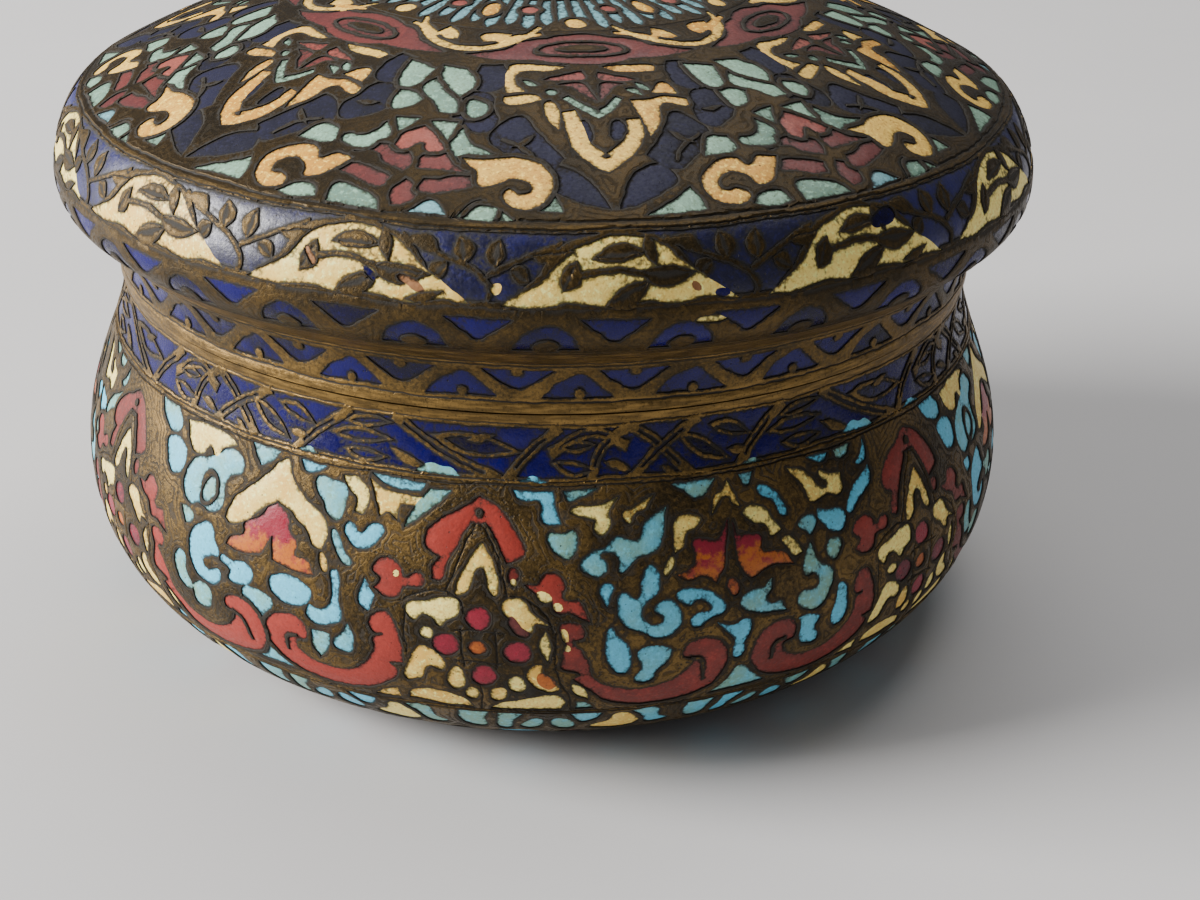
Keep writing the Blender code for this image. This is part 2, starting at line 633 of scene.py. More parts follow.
def grid_points(zone):
    """Evenly spread points, in rows that are shifted by half a step."""
    low_x, low_y, high_x, high_y = zone.extent()
    row_step = GRID_STEP * math.sqrt(0.75)
    rows = int((high_y - low_y) / row_step)
    columns = int((high_x - low_x) / GRID_STEP)
    for row in range(rows + 1):
        for column in range(columns + 1):
            x = low_x + (column + 0.5 * (row % 2)) * GRID_STEP
            y = low_y + row * row_step
            if zone.inside(x, y, GRID_GAP):
                yield x, y


def smooth_step(value):
    """Eases from 0 to 1."""
    value = np.clip(value, 0.0, 1.0)
    return value * value * (3.0 - 2.0 * value)


def triangulated(zone, points, edges, faces):
    """Corners and triangles of a drawing, and the cell that owns each triangle, or -1."""
    flat = [Vector(point[:2]) for point in points]
    corners, _, triangles, _, _, owners = delaunay_2d_cdt(flat, edges, faces, 0, TINY, True)
    x = np.array([corner.x for corner in corners])
    y = np.array([corner.y for corner in corners])
    kept, cell_of = [], []
    for (a, b, c), owner in zip(triangles, owners):
        if zone.inside((x[a] + x[b] + x[c]) / 3.0, (y[a] + y[b] + y[c]) / 3.0):
            kept.append((a, b, c))
            cell_of.append(max(owner) if owner else -1)
    return x, y, kept, cell_of


def cell_walls(triangles, is_brass):
    """Edges between brass and enamel, each with the brass on its left."""
    sides = set()
    for (a, b, c), brass in zip(triangles, is_brass):
        if brass:
            sides.update(((a, b), (b, c), (c, a)))
    walls = []
    for (a, b, c), brass in zip(triangles, is_brass):
        if not brass:
            for start, end in ((a, b), (b, c), (c, a)):
                if (end, start) in sides:
                    walls.append((end, start))
    return walls


def distances(tree, x, y):
    """How far each point is from the nearest one in a tree."""
    return np.array([tree.find((px, py, 0.0))[2] for px, py in zip(x, y)])


def groove_depths(x, y, marks):
    """How deep the engraved lines cut at each point."""
    depths = np.zeros(len(x))
    if marks:
        tree = near_tree([mark[:2] for mark in marks])
        for index, place in enumerate(zip(x, y)):
            _, mark, distance = tree.find((*place, 0.0))
            width, depth = marks[mark][2:]
            depths[index] = depth * max(0.0, 1.0 - distance / (width * 0.5))
    return depths


def heights(zone, x, y, reach, groove, sizes):
    """Heights of the brass and of the enamel above the turned surface."""
    ground = zone.lift(x, y, 0.0)
    waves = np.array([noise.noise(Vector(place) / WAVE_SIZE) for place in ground])
    grain = np.array([noise.noise(Vector(place) / GRAIN_SIZE) for place in ground])
    brass = waves * BRASS_WAVE - groove
    brass -= sizes.border_round / MM * (1.0 - smooth_step(reach / ROUNDED_WIDTH))
    enamel = -sizes.cell_depth / MM + sizes.pillow / MM * smooth_step(reach / PILLOW_WIDTH)
    enamel += waves * ENAMEL_WAVE + grain * GRAIN_HEIGHT * smooth_step(reach / GRAIN_MARGIN)
    enamel = np.minimum(enamel, brass - LEAST_DEPTH)
    brass[is_on_border(zone, x, y)] = 0.0
    return brass, enamel


def build_zone(zone, sizes):
    """Makes the brass of a zone and one object for each enamel in it."""
    points, edges, faces, groove_marks = drawing(zone)
    x, y, kept, cell_of = triangulated(zone, points, edges, faces)
    fillings = ["brass" if cell < 0 else zone.cells[cell][0] for cell in cell_of]
    is_brass = [filling == "brass" for filling in fillings]
    walls = cell_walls(kept, is_brass)
    border = sorted({index for wall in walls for index in wall})
    reach = distances(near_tree([(x[index], y[index]) for index in border]), x, y)
    groove = groove_depths(x, y, groove_marks)
    brass_height, enamel_height = heights(zone, x, y, reach, groove, sizes)
    brass_points = zone.lift(x, y, brass_height)
    enamel_points = zone.lift(x, y, enamel_height)
    brass_faces = [face for face, brass in zip(kept, is_brass) if brass]

    # What the finishes read, each with the value on the cells' walls
    values = {
        "edge": (np.minimum(reach / EDGE_WIDTH, 1.0), 0.0),
        "groove": (np.minimum(groove / FULL_GROOVE, 1.0), 1.0),
        "away": (np.minimum(reach, FAR_AWAY), 0.0),
        "stipple": (stippled(zone, x, y), 0.0),
        "plain": (plain_rows(zone, y), 0.0),
    }
    made = [brass_object(zone, brass_faces, walls, brass_points, enamel_points, values)]
    for filling in sorted(set(fillings) - {"brass"}):
        chosen = [index for index, name in enumerate(fillings) if name == filling]
        made.append(enamel_object(zone, filling, chosen, kept, cell_of, x, y, enamel_points, reach))
    return made


def stippled(zone, x, y):
    """Marks the punched brass beside the brick-red cells."""
    marks = [point for filling, outline, _, _ in zone.cells if filling == "brick" for point in outline]
    if not marks:
        return np.zeros(len(x))
    return 1.0 - smooth_step((distances(near_tree(marks), x, y) - STIPPLE_WIDTH) / STIPPLE_FADE)


def plain_rows(zone, y):
    """Marks the plain turned rows of a belt."""
    marks = np.zeros(len(y))
    for top, bottom in zone.plain:
        marks[(y < -top + PLAIN_ROW_MARGIN) & (y > -bottom - PLAIN_ROW_MARGIN)] = 1.0
    return marks


def is_on_border(zone, x, y):
    """Marks the points on a zone's rows at top and bottom."""
    if isinstance(zone, Disc):
        return np.hypot(x, y) > zone.radius - BORDER_MARGIN
    return (np.abs(y + zone.top) < BORDER_MARGIN) | (np.abs(y + zone.bottom) < BORDER_MARGIN)


def mesh_object(name, points, faces, values):
    """A mesh in metres that rides on the frame, with named values at its points."""
    mesh = bpy.data.meshes.new(name)
    mesh.from_pydata((points * MM).tolist(), [], faces)
    for key, numbers in values.items():
        layer = mesh.attributes.new(key, "FLOAT", "POINT")
        layer.data.foreach_set("value", np.asarray(numbers, dtype=np.float32))
    mesh.validate()
    mesh.shade_smooth()
    mesh.set_sharp_from_angle(angle=math.radians(SHARP_ANGLE))
    piece = bpy.data.objects.new(name, mesh)
    bpy.context.scene.collection.objects.link(piece)
    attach(piece, "root")
    return piece


def merged(points, faces, values):
    """The same faces with points that lie together made one; faces without area are left out."""
    keys = np.round(points * MERGE_STEPS_PER_MM).astype(np.int64)
    _, first, inverse = np.unique(keys, axis=0, return_index=True, return_inverse=True)
    inverse = inverse.reshape(-1)
    kept = []
    for face in faces:
        corners = list(dict.fromkeys(int(inverse[index]) for index in face))
        if len(corners) > 2:
            kept.append(corners)
    kept_values = {key: np.asarray(numbers)[first] for key, numbers in values.items()}
    return points[first], kept, kept_values


def brass_object(zone, faces, walls, top, bottom, values):
    """The brass of a zone: its face, and the sides of the cells cut into it."""
    count = len(top)
    points = np.concatenate([top, bottom])
    all_faces = [list(face) for face in faces]
    for start, end in walls:
        all_faces.append([end, start, start + count, end + count])
    used = sorted({index for face in all_faces for index in face})
    number = {index: place for place, index in enumerate(used)}
    all_faces = [[number[index] for index in face] for face in all_faces]
    values = {
        key: np.concatenate([face_value, np.full(count, wall_value)])[used]
        for key, (face_value, wall_value) in values.items()
    }
    points, all_faces, values = merged(points[used], all_faces, values)
    piece = mesh_object(zone.name + "_brass", points, all_faces, values)
    return piece


def enamel_object(zone, filling, chosen, kept, cell_of, x, y, top, reach):
    """All cells of one enamel in a zone."""
    number, points, faces = {}, [], []
    edge, tone = [], []
    for index in chosen:
        cell = cell_of[index]
        face = []
        for corner in kept[index]:
            key = (corner, cell)
            if key not in number:
                number[key] = len(points)
                points.append(top[corner])
                edge.append(min(reach[corner] / EDGE_WIDTH, 1.0))
                tone.append(cell_tone(zone.cells[cell], x[corner], y[corner]))
            face.append(number[key])
        faces.append(face)
    values = {"edge": edge, "tone": tone}
    piece = mesh_object(f"{zone.name}_{filling}_enamel", np.array(points), faces, values)
    return piece


def cell_tone(cell, x, y):
    """Tone of an enamel at a point: one value for the cell, or a fade between two points."""
    _, _, tone, fade = cell
    if not fade:
        return tone
    (x0, y0), (x1, y1) = fade
    dx, dy = x1 - x0, y1 - y0
    share = ((x - x0) * dx + (y - y0) * dy) / (dx * dx + dy * dy)
    return min(max(share, 0.0), 1.0)


# Plain turned surfaces that carry no ornament

def turned(name, outline):
    """A smooth turned surface from an outline that runs down its visible side."""
    points, faces = [], []
    steps = SHELL_STEPS
    for radius, level in outline:
        for step in range(steps):
            angle = math.tau * step / steps
            points.append((radius * math.sin(angle), -radius * math.cos(angle), level))
    for row in range(len(outline) - 1):
        for step in range(steps):
            after = (step + 1) % steps
            upper, lower = row * steps, (row + 1) * steps
            faces.append([upper + step, lower + step, lower + after, upper + after])
    points = np.array(points)
    one, none = np.ones(len(points)), np.zeros(len(points))
    values = {"edge": one, "groove": none, "away": one * FAR_AWAY, "stipple": none, "plain": one}
    points, faces, values = merged(points, faces, values)
    piece = mesh_object(name, points, faces, values)
    return piece


def inset(profile, wall, start, end, steps):
    """Points of the inner side of a wall between two lengths along its outer side."""
    lengths = np.linspace(start, end, steps)
    radius, level = profile.at(lengths, np.full(steps, -wall))
    return list(zip(radius.tolist(), level.tolist()))


# Ornament of the lid's crown. Motifs are drawn across and outward from the middle of the lid.

# The dark panel with a cream arch that points to the rim
NAVY_PANEL = mirrored([
    *blobs(
        "navy",
        ((0.35, 45.3, 1), (2.4, 44.6), (4.9, 43.1), (5.6, 42.2), (4.6, 40.7), (3.3, 41.0), (1.9, 42.1),
         (0.9, 43.9)),
        ((3.5, 39.8, 1), (5.6, 41.2), (7.6, 39.4), (9.3, 37.6), (9.6, 36.6), (8.6, 35.1), (6.6, 34.2),
         (5.7, 35.8), (4.6, 38.0)),
        ((8.7, 34.6), (10.0, 35.8), (11.4, 34.8), (12.4, 33.0), (11.9, 31.6), (10.7, 30.3), (8.9, 30.9),
         (8.9, 32.8)),
        ((8.2, 30.3), (10.3, 29.6), (9.9, 27.9), (9.1, 26.1, 1), (7.2, 26.3, 1), (7.0, 28.0)),
    ),
    ribbon("brass", (0.25, 0.45, 0.25), (5.9, 40.2), (6.7, 38.4), (8.6, 36.8)),
    leaf("brass", (9.4, 33.4), (11.4, 32.6), 0.55, 0.2),
    leaf("brass", (5.8, 36.7), (7.9, 38.0), 0.6, 0.2),
    blob("navy", (1.0, 38.0), (1.7, 37.4), (2.0, 36.0), (1.3, 35.4), (0.9, 36.4)),
]) + [
    ribbon("gold_cream", (1.2, 1.5, 1.7, 1.5, 1.1), (-2.5, 34.0), (-2.2, 36.3), (-1.7, 38.6),
           (0.1, 40.6, 1), (2.0, 38.9), (2.8, 37.0), (2.8, 35.2)),
    *blobs(
        "gold_cream",
        ((-3.6, 36.4, 1), (-4.4, 34.7), (-4.4, 32.9), (-3.8, 32.3), (-3.3, 33.9)),
        ((4.1, 37.4, 1), (5.2, 35.3), (5.9, 33.0), (8.3, 33.0), (8.3, 32.0, 1), (6.2, 31.8), (4.9, 32.4),
         (3.1, 32.6, 1), (3.4, 34.4)),
        ((-7.9, 32.2), (-6.7, 32.5), (-4.4, 32.0, 1), (-5.0, 31.2), (-7.8, 31.3, 1)),
        ((-7.6, 30.7, 1), (-5.8, 30.7, 1), (-6.4, 29.5), (-6.4, 28.3), (-5.4, 27.6), (-3.4, 27.9),
         (-1.7, 27.5, 1), (-3.8, 26.9), (-6.3, 26.4), (-7.1, 27.9)),
        ((5.2, 31.4, 1), (7.6, 31.3, 1), (6.4, 29.6)),
        ((1.3, 27.5, 1), (2.6, 28.2), (5.9, 27.9, 1), (5.9, 27.0), (3.4, 27.1)),
    ),
    ribbon("green", (0.6, 0.7, 0.9, 0.7, 0.6), (-2.4, 32.0), (-1.5, 33.2), (0.0, 34.6, 1), (1.3, 33.5),
           (2.1, 32.3)),
    spot("green", -3.5, 31.1, 0.5, 0.4, 20.0),
    leaf("green", (2.9, 31.0), (4.4, 31.8), 0.7, -0.2),
    leaf("green", (3.9, 29.9), (5.2, 30.9), 0.8, 0.1),
    leaf("green", (-5.8, 29.0), (-4.4, 30.0), 0.6, 0.1),
    blob("maroon", (0.2, 32.7, 1), (-1.0, 31.5), (-1.5, 30.7), (-2.8, 30.1, 1), (-0.7, 30.1), (-0.3, 31.2)),
    blob("maroon", (0.5, 32.6, 1), (1.4, 31.5), (1.7, 30.7), (2.8, 30.1, 1), (1.0, 30.1), (0.6, 31.2)),
    blob("rose", (-4.0, 29.2, 1), (-2.2, 29.5), (-0.5, 29.4), (-0.6, 28.3, 1), (-1.9, 28.6)),
    blob("rose", (4.2, 29.4, 1), (2.5, 29.7), (0.7, 29.4), (0.8, 28.4, 1), (2.3, 28.9)),
    blob("green", (2.4, 46.0, 1), (7.55, 45.2, 1), (7.2, 44.0), (6.5, 43.1, 1), (5.6, 43.9)),
    blob("green", (-6.3, 45.0, 1), (-4.3, 45.3, 1), (-4.6, 44.2), (-5.2, 43.1, 1)),
]

# The cream curl on the panel's left
LEFT_CURL = [
    blob("gold_cream", (-8.5, 44.5), (-6.9, 43.6), (-6.3, 41.9), (-7.1, 39.9), (-9.4, 38.8), (-11.4, 38.7),
         (-13.3, 38.1, 1), (-12.3, 39.8), (-12.3, 41.3), (-10.9, 41.4), (-9.4, 41.1), (-8.2, 41.7),
         (-8.1, 42.7), (-9.0, 42.9), (-9.9, 42.2), (-10.5, 43.0), (-9.8, 44.1)),
    blob("green", (-14.0, 44.4, 1), (-11.8, 45.0), (-11.2, 44.0, 1), (-12.6, 43.4)),
]

# The cream curl on the panel's right
RIGHT_CURL = [
    blob("gold_cream", (8.9, 44.4), (10.7, 44.4), (11.6, 43.4), (10.6, 42.9), (9.5, 43.2), (9.1, 42.3),
         (10.2, 41.1), (11.8, 41.3), (12.6, 42.2), (14.0, 41.2), (14.9, 38.7, 1), (13.2, 39.1),
         (12.2, 40.2), (11.2, 39.5), (9.6, 39.8), (7.9, 41.6), (7.8, 43.2)),
]

# The maroon palmette between two panels, with its green leaves
CROWN_PALMETTE = [
    *blobs(
        "maroon",
        ((2.4, 45.7, 1), (3.8, 45.1), (3.6, 43.6), (2.6, 43.0, 1), (1.9, 44.2)),
        ((4.0, 43.9), (6.3, 43.5), (9.1, 41.9, 1), (7.3, 41.5), (5.1, 42.5), (4.0, 42.7, 1)),
        ((-4.4, 42.4, 1), (-1.9, 43.2), (0.8, 43.9), (1.2, 42.9, 1), (-0.6, 42.2), (-2.2, 41.9)),
        ((-2.9, 40.6, 1), (-0.9, 40.4), (0.1, 41.3), (2.0, 42.1, 1), (2.3, 40.8), (0.6, 39.7),
         (-1.2, 39.6)),
        ((3.1, 41.6, 1), (5.2, 41.4), (7.9, 41.0, 1), (6.1, 39.9), (4.4, 39.7), (3.0, 40.3)),
    ),
    blob("rose", (0.3, 39.4, 1), (0.4, 37.9), (1.7, 36.7, 1), (3.0, 37.6), (4.6, 39.3, 1), (3.2, 39.7),
         (2.3, 38.7), (1.2, 39.9)),
    *blobs(
        "green",
        ((-4.7, 38.7), (-4.2, 39.7), (-1.9, 40.0), (-1.4, 39.2), (-0.7, 38.4), (-1.7, 36.8, 1),
         (-2.1, 38.0), (-3.1, 38.7)),
        ((6.3, 40.2, 1), (8.3, 40.5), (9.4, 38.8, 1), (7.9, 38.5), (6.5, 38.0), (5.1, 36.4, 1), (4.6, 38.2),
         (5.3, 39.3)),
        ((-8.9, 39.3, 1), (-5.6, 39.6), (-5.6, 38.1, 1), (-7.3, 37.6)),
        ((9.8, 39.6), (13.1, 39.6, 1), (12.2, 38.8), (10.6, 38.5, 1)),
        ((-0.2, 37.8, 1), (-1.2, 36.1, 1), (0.9, 35.8, 1)),
        ((4.3, 38.0, 1), (2.0, 36.0, 1), (4.4, 35.7, 1)),
        ((-2.2, 34.8), (-0.8, 34.6), (0.1, 33.3, 1), (-0.8, 32.7), (-2.4, 32.3, 1)),
        ((3.8, 34.6, 1), (3.2, 33.0), (1.5, 31.9), (0.4, 30.2, 1), (-0.5, 31.9), (1.1, 33.4),
         (2.2, 34.7, 1)),
        ((4.6, 34.4, 1), (5.6, 34.9), (6.3, 33.4), (4.6, 32.6), (4.3, 33.2)),
        ((-2.8, 31.7), (-1.4, 31.7), (-0.5, 28.9, 1), (-3.2, 27.8, 1), (-3.3, 29.6)),
        ((3.3, 32.5, 1), (3.9, 30.4), (2.5, 28.4, 1), (0.1, 28.2, 1), (1.1, 30.6)),
        ((-8.0, 45.2, 1), (-6.2, 45.8), (-4.4, 45.7, 1), (-4.8, 44.7), (-6.6, 44.4)),
        ((-3.1, 46.1, 1), (1.5, 46.3, 1), (1.0, 45.3), (-1.3, 44.3), (-3.0, 44.3)),
    ),
    blob("sky", (4.0, 46.2, 1), (7.2, 45.7, 1), (5.5, 44.7)),
    blob("green", (8.2, 45.7, 1), (12.8, 44.7, 1), (11.0, 43.9), (9.2, 43.8)),
]

# The red ring round the medallion: an eye below each panel
INNER_RING = mirrored([
    blob("maroon", (0.2, 26.4), (4.0, 25.9), (7.6, 25.2), (10.4, 23.8, 1), (9.0, 23.8), (6.6, 23.4),
         (5.2, 22.4), (3.0, 22.1), (0.2, 22.3)),
    ribbon("gold_cream", (0.5, 0.8, 0.6), (3.3, 21.2), (5.4, 21.4), (7.4, 21.9)),
]) + [
    blob("maroon", (-3.6, 26.2), (3.6, 26.2), (3.6, 22.4), (-3.6, 22.4)),
    spot("brass", 0.0, 24.3, 4.3, 1.55),
    spot("maroon", 0.0, 24.3, 3.8, 1.15),
    spot("brass", 0.0, 24.3, 2.4, 0.65),
]

# The cream frame round a dark oval, between two eyes
RING_FRAME = [
    ribbon("gold_cream", (0.4, 0.8, 0.9, 0.8, 0.9, 0.8, 0.4), (-5.6, 19.2), (-4.6, 21.6), (-3.0, 23.6),
           (-0.8, 24.8), (1.4, 24.7), (3.4, 23.5), (5.0, 21.4), (5.6, 19.2)),
    blob("gold_cream", (-3.1, 22.3, 1), (-1.8, 23.4), (-0.8, 23.3, 1), (-1.2, 22.1), (-2.3, 21.0, 1)),
    blob("gold_cream", (1.6, 23.4, 1), (3.4, 22.4), (3.7, 21.2, 1), (2.0, 21.4), (1.1, 22.2)),
    leaf("maroon", (-7.7, 25.0), (-4.2, 24.2), 1.0, 0.1),
    leaf("maroon", (7.7, 25.0), (4.2, 24.2), 1.0, -0.1),
]


def medallion(zone):
    """The rayed middle of the crown: pale rays, a cream dot for each panel and a rosette."""
    rays = REPEATS * RAYS_PER_PANEL
    for index in range(rays):
        angle = PANEL_ANGLE + 360.0 * (index + 0.5) / rays
        top = 20.4 if index % 2 else 19.6
        ray = blob("sky", (-0.50, top - 0.9), (0.0, top, 1), (0.50, top - 0.9), (0.42, 16.5),
                   (0.30, 13.6, 1), (-0.30, 13.6, 1), (-0.42, 16.5))
        zone.add([ray], angle)
    for index in range(REPEATS):
        angle = PANEL_ANGLE + index * REPEAT_ANGLE
        zone.add([spot("brass", 0.0, 19.2, 1.5), spot("gold_cream", 0.0, 19.2, 1.0)], angle)
        oval = [spot("brass", 0.0, 16.4, 1.3, 2.1), spot("gold_cream", 0.0, 16.4, 0.8, 1.6)]
        zone.add(oval, angle + REPEAT_ANGLE / 2.0)
        for quarter in (REPEAT_ANGLE / 4.0, -REPEAT_ANGLE / 4.0):
            zone.add([spot("brass", 0.0, 16.0, 1.3), spot("rose", 0.0, 16.0, 0.8)], angle + quarter)
    petals = REPEATS * 2
    for index in range(petals):
        angle = PANEL_ANGLE + 360.0 * index / petals
        filling = "navy" if index % 2 else "maroon"
        petal = blob(filling, (0.0, 12.6, 1), (1.5, 10.4), (1.35, 8.2), (0.0, 5.6, 1), (-1.35, 8.2),
                     (-1.5, 10.4))
        zone.add([petal], angle)
        zone.add([leaf("gold_cream", (0.0, 7.4), (0.0, 10.8), 1.0)], angle)
        zone.add([leaf("green", (0.0, 9.6), (0.0, 12.9), 1.1)], angle + 180.0 / petals)
    for index in range(REPEATS):
        angle = PANEL_ANGLE + index * REPEAT_ANGLE
        bud = blob("sky", (0.0, 5.0, 1), (1.1, 3.9), (0.75, 2.4, 1), (-0.75, 2.4, 1), (-1.1, 3.9))
        zone.add([bud], angle)
    zone.add([spot("gold_cream", 0.0, 0.0, 1.5)])
    for radius in (21.0, 13.2, 5.4, 1.9):
        zone.engrave(*FINE_LINE, *circle(radius), closed=True)


def circle(radius):
    """A few points round the middle."""
    count = 48
    angles = [math.tau * step / count for step in range(count)]
    return [(radius * math.sin(angle), radius * math.cos(angle)) for angle in angles]


def crown():
    """The whole ornament of the lid's top."""
    zone = Disc("lid_crown", LID, CROWN_RADIUS, seed=11)
    medallion(zone)
    turns = [PANEL_ANGLE + index * REPEAT_ANGLE for index in range(REPEATS)]
    for angle in turns:
        zone.add(INNER_RING, angle)
        zone.add(RING_FRAME, angle + REPEAT_ANGLE / 2.0)
        zone.add(NAVY_PANEL, angle)
        zone.engrave(*FINE_LINE, (-9.4, 26.9), (0.0, 27.2), (9.4, 26.9), angle=angle)
    for angle in turns:
        zone.add(CROWN_PALMETTE, angle + PALMETTE_TURN, HALO)
    for angle in turns:
        zone.add(LEFT_CURL, angle + LEFT_CURL_TURN, HALO)
        zone.add(RIGHT_CURL, angle, HALO)
    zone.engrave(*BORDER_LINE, *circle(46.55), closed=True)
    return zone


# Ornament of the lid's side. Motifs are drawn in degrees round and in length down the surface.

def lunette(number):
    """A cream half-moon on the rim with veined brass leaves across it."""
    cells = [
        blob("cream", (-11.2, 55.5, 1), (-9.4, 54.5), (-7.2, 53.4), (-5.8, 52.0), (-4.6, 50.9),
             (-2.6, 50.2), (-0.6, 49.7), (2.2, 49.9), (4.4, 50.7), (6.2, 52.0), (8.4, 53.5),
             (11.4, 55.6, 1), (8.6, 55.2), (6.0, 55.6), (2.4, 55.2), (-1.0, 55.6), (-4.6, 55.2),
             (-8.0, 55.6)),
        leaf("brass", (-5.4, 54.2), (-4.0, 51.6), 1.9, 0.2),
        leaf("brass", (-2.6, 51.6), (2.8, 51.1), 1.5, -0.3),
        leaf("brass", (-1.6, 55.5), (3.0, 53.5), 1.9, 0.2),
        leaf("brass", (1.6, 52.9), (7.8, 53.1), 1.8, 0.3),
        leaf("brass", (2.6, 49.6), (3.6, 52.4), 1.4, 0.1),
        ribbon("brass", (0.5, 0.5), (-4.6, 53.0), (-0.6, 52.5), (2.2, 52.9)),
    ]
    if number % 2:
        cells.append(leaf("brass", (5.4, 55.3), (9.0, 54.5), 0.8, 0.2))
    return cells

# Chips and stains on the front of the rim: blue, rust and white
RIM_DAMAGE = [
    spot("cobalt", 16.9, 55.0, 0.7, 0.32),
    blob("cobalt", (34.6, 51.6), (35.8, 50.6), (37.8, 50.3), (38.2, 51.2), (36.4, 51.9)),
    blob("cream", (-5.4, 54.2), (-4.8, 53.8), (-4.4, 54.0), (-4.8, 54.7)),
    blob("rust", (-23.9, 52.3), (-23.1, 52.7), (-22.6, 53.6), (-23.4, 53.2)),
    blob("rust", (-14.0, 53.5), (-12.9, 53.5), (-11.9, 54.0), (-11.6, 54.7), (-12.8, 54.2)),
    blob("cobalt", (-17.5, 53.1), (-16.9, 53.3), (-16.2, 54.1), (-17.0, 53.9)),
    spot("cream", -14.1, 54.7, 0.6, 0.25),
    spot("rust", 14.5, 54.3, 0.5, 0.28, 40.0),
    spot("cream", 15.6, 57.3, 1.5, 0.3),
]

# The blue ground between two half-moons, with a sprig of brass leaves
RIM_PANEL = [
    blob("cobalt_rim", (-10.9, 49.4, 1), (10.9, 49.4, 1), (8.2, 50.0), (6.5, 51.2), (5.0, 53.0),
         (2.0, 55.2, 1), (-2.0, 55.2, 1), (-5.0, 53.0), (-6.5, 51.2), (-8.2, 50.0)),
    ribbon("brass", (0.55, 0.5, 0.55), (-8.4, 50.0), (-4.0, 51.6), (-1.0, 52.8), (0.5, 54.4), (0.2, 55.4)),
    ribbon("brass", (0.5, 0.45), (0.0, 53.2), (3.0, 51.9), (7.6, 50.2)),
    leaf("brass", (-4.4, 51.2), (-7.6, 50.0), 1.6, 0.2),
    leaf("brass", (-3.6, 52.0), (-5.2, 53.8), 1.7, 0.2),
    leaf("brass", (-2.0, 52.2), (-2.6, 49.6), 2.1, 0.2),
    leaf("brass", (0.8, 52.6), (1.2, 49.8), 2.0, -0.2),
    leaf("brass", (2.2, 52.6), (4.4, 53.7), 1.6, -0.2),
    leaf("brass", (4.2, 51.3), (8.6, 50.9), 1.5, 0.2),
]


LUNETTE_VEINS = (
    ((-5.2, 53.8), (-4.3, 52.2)),
    ((-2.0, 51.5), (2.2, 51.2)),
    ((-0.9, 55.1), (2.4, 53.8)),
    ((2.4, 52.9), (7.0, 53.1)),
)
SPRIG_VEINS = (
    ((-2.1, 51.8), (-2.5, 50.1)),
    ((0.85, 52.2), (1.15, 50.3)),
    ((-3.8, 52.3), (-4.9, 53.4)),
    ((2.6, 52.8), (4.0, 53.5)),
    ((4.8, 51.3), (8.0, 50.95)),
)


def veins(zone, angle, leaves):
    """Engraves a vein along each leaf."""
    for tail, tip in leaves:
        middle = ((tail[0] + tip[0]) / 2.0, (tail[1] + tip[1]) / 2.0)
        zone.engrave(*VEIN_LINE, tail, middle, tip, angle=angle)

# Triangles and scallops below the rim
UNDERSIDE_ROW = [
    blob("cobalt", (-3.3, 56.7, 1), (3.3, 56.7, 1), (1.4, 57.9), (0.0, 58.7), (-1.4, 57.9)),
    blob("cobalt", (3.3, 60.0, 1), (4.0, 58.4), (5.3, 57.5), (6.43, 57.3), (7.6, 57.5), (8.9, 58.4),
         (9.6, 60.0, 1)),
    spot("brass", 6.43, 59.5, 1.3, 0.9),
]

# Flat triangles between slanting bars on the lid's neck
NECK_ROW = [
    blob("cobalt", (-3.9, 68.2, 1), (-2.3, 66.9), (-0.6, 66.2), (0.4, 65.9), (1.6, 66.6), (3.9, 68.2, 1)),
    blob("cobalt", (2.4, 65.5, 1), (10.2, 65.5, 1), (8.0, 66.9), (6.3, 67.5), (4.4, 66.8)),
    spot("brass", 0.2, 67.9, 0.6, 0.5),
    spot("brass", 6.3, 65.7, 0.7, 0.5),
]


def lid_rim():
    """The whole ornament of the lid's rim and its underside."""
    top = float(LID.length_at_radius(CROWN_RADIUS))
    zone = Band("lid_rim", LID, top, NECK_TOP, BAND_RADIUS_LID, seed=23)
    for index in range(REPEATS * 2):
        angle = LUNETTE_ANGLE + index * REPEAT_ANGLE / 2.0
        zone.add(RIM_PANEL, angle + REPEAT_ANGLE / 4.0)
        zone.add(lunette(index), angle)
        veins(zone, angle, LUNETTE_VEINS)
        veins(zone, angle + REPEAT_ANGLE / 4.0, SPRIG_VEINS)
    zone.add(RIM_DAMAGE)
    for index in range(REPEATS * 4):
        zone.add(UNDERSIDE_ROW, UNDERSIDE_ANGLE + index * REPEAT_ANGLE / 4.0)
    for length, line in ((49.05, BORDER_LINE), (55.8, (0.2, 0.07)), (60.6, FINE_LINE)):
        zone.ring_line(*line, length)
    return zone


def lid_neck():
    """The lid's neck: a bright turned ring, a row of triangles and the lip."""
    zone = Band("lid_neck", LID, NECK_TOP, LID.end, BAND_RADIUS_LID, seed=29)
    for index in range(REPEATS * 4):
        zone.add(NECK_ROW, NECK_ANGLE + index * REPEAT_ANGLE / 4.0)
    for length in (61.9, 64.4, 64.9, 68.7):
        zone.ring_line(*FINE_LINE, length)
    zone.plain = ((NECK_TOP, 64.6), (68.4, 80.0))
    return zone


# Ornament of the body. Motifs are drawn in degrees round and in length down from the mouth.

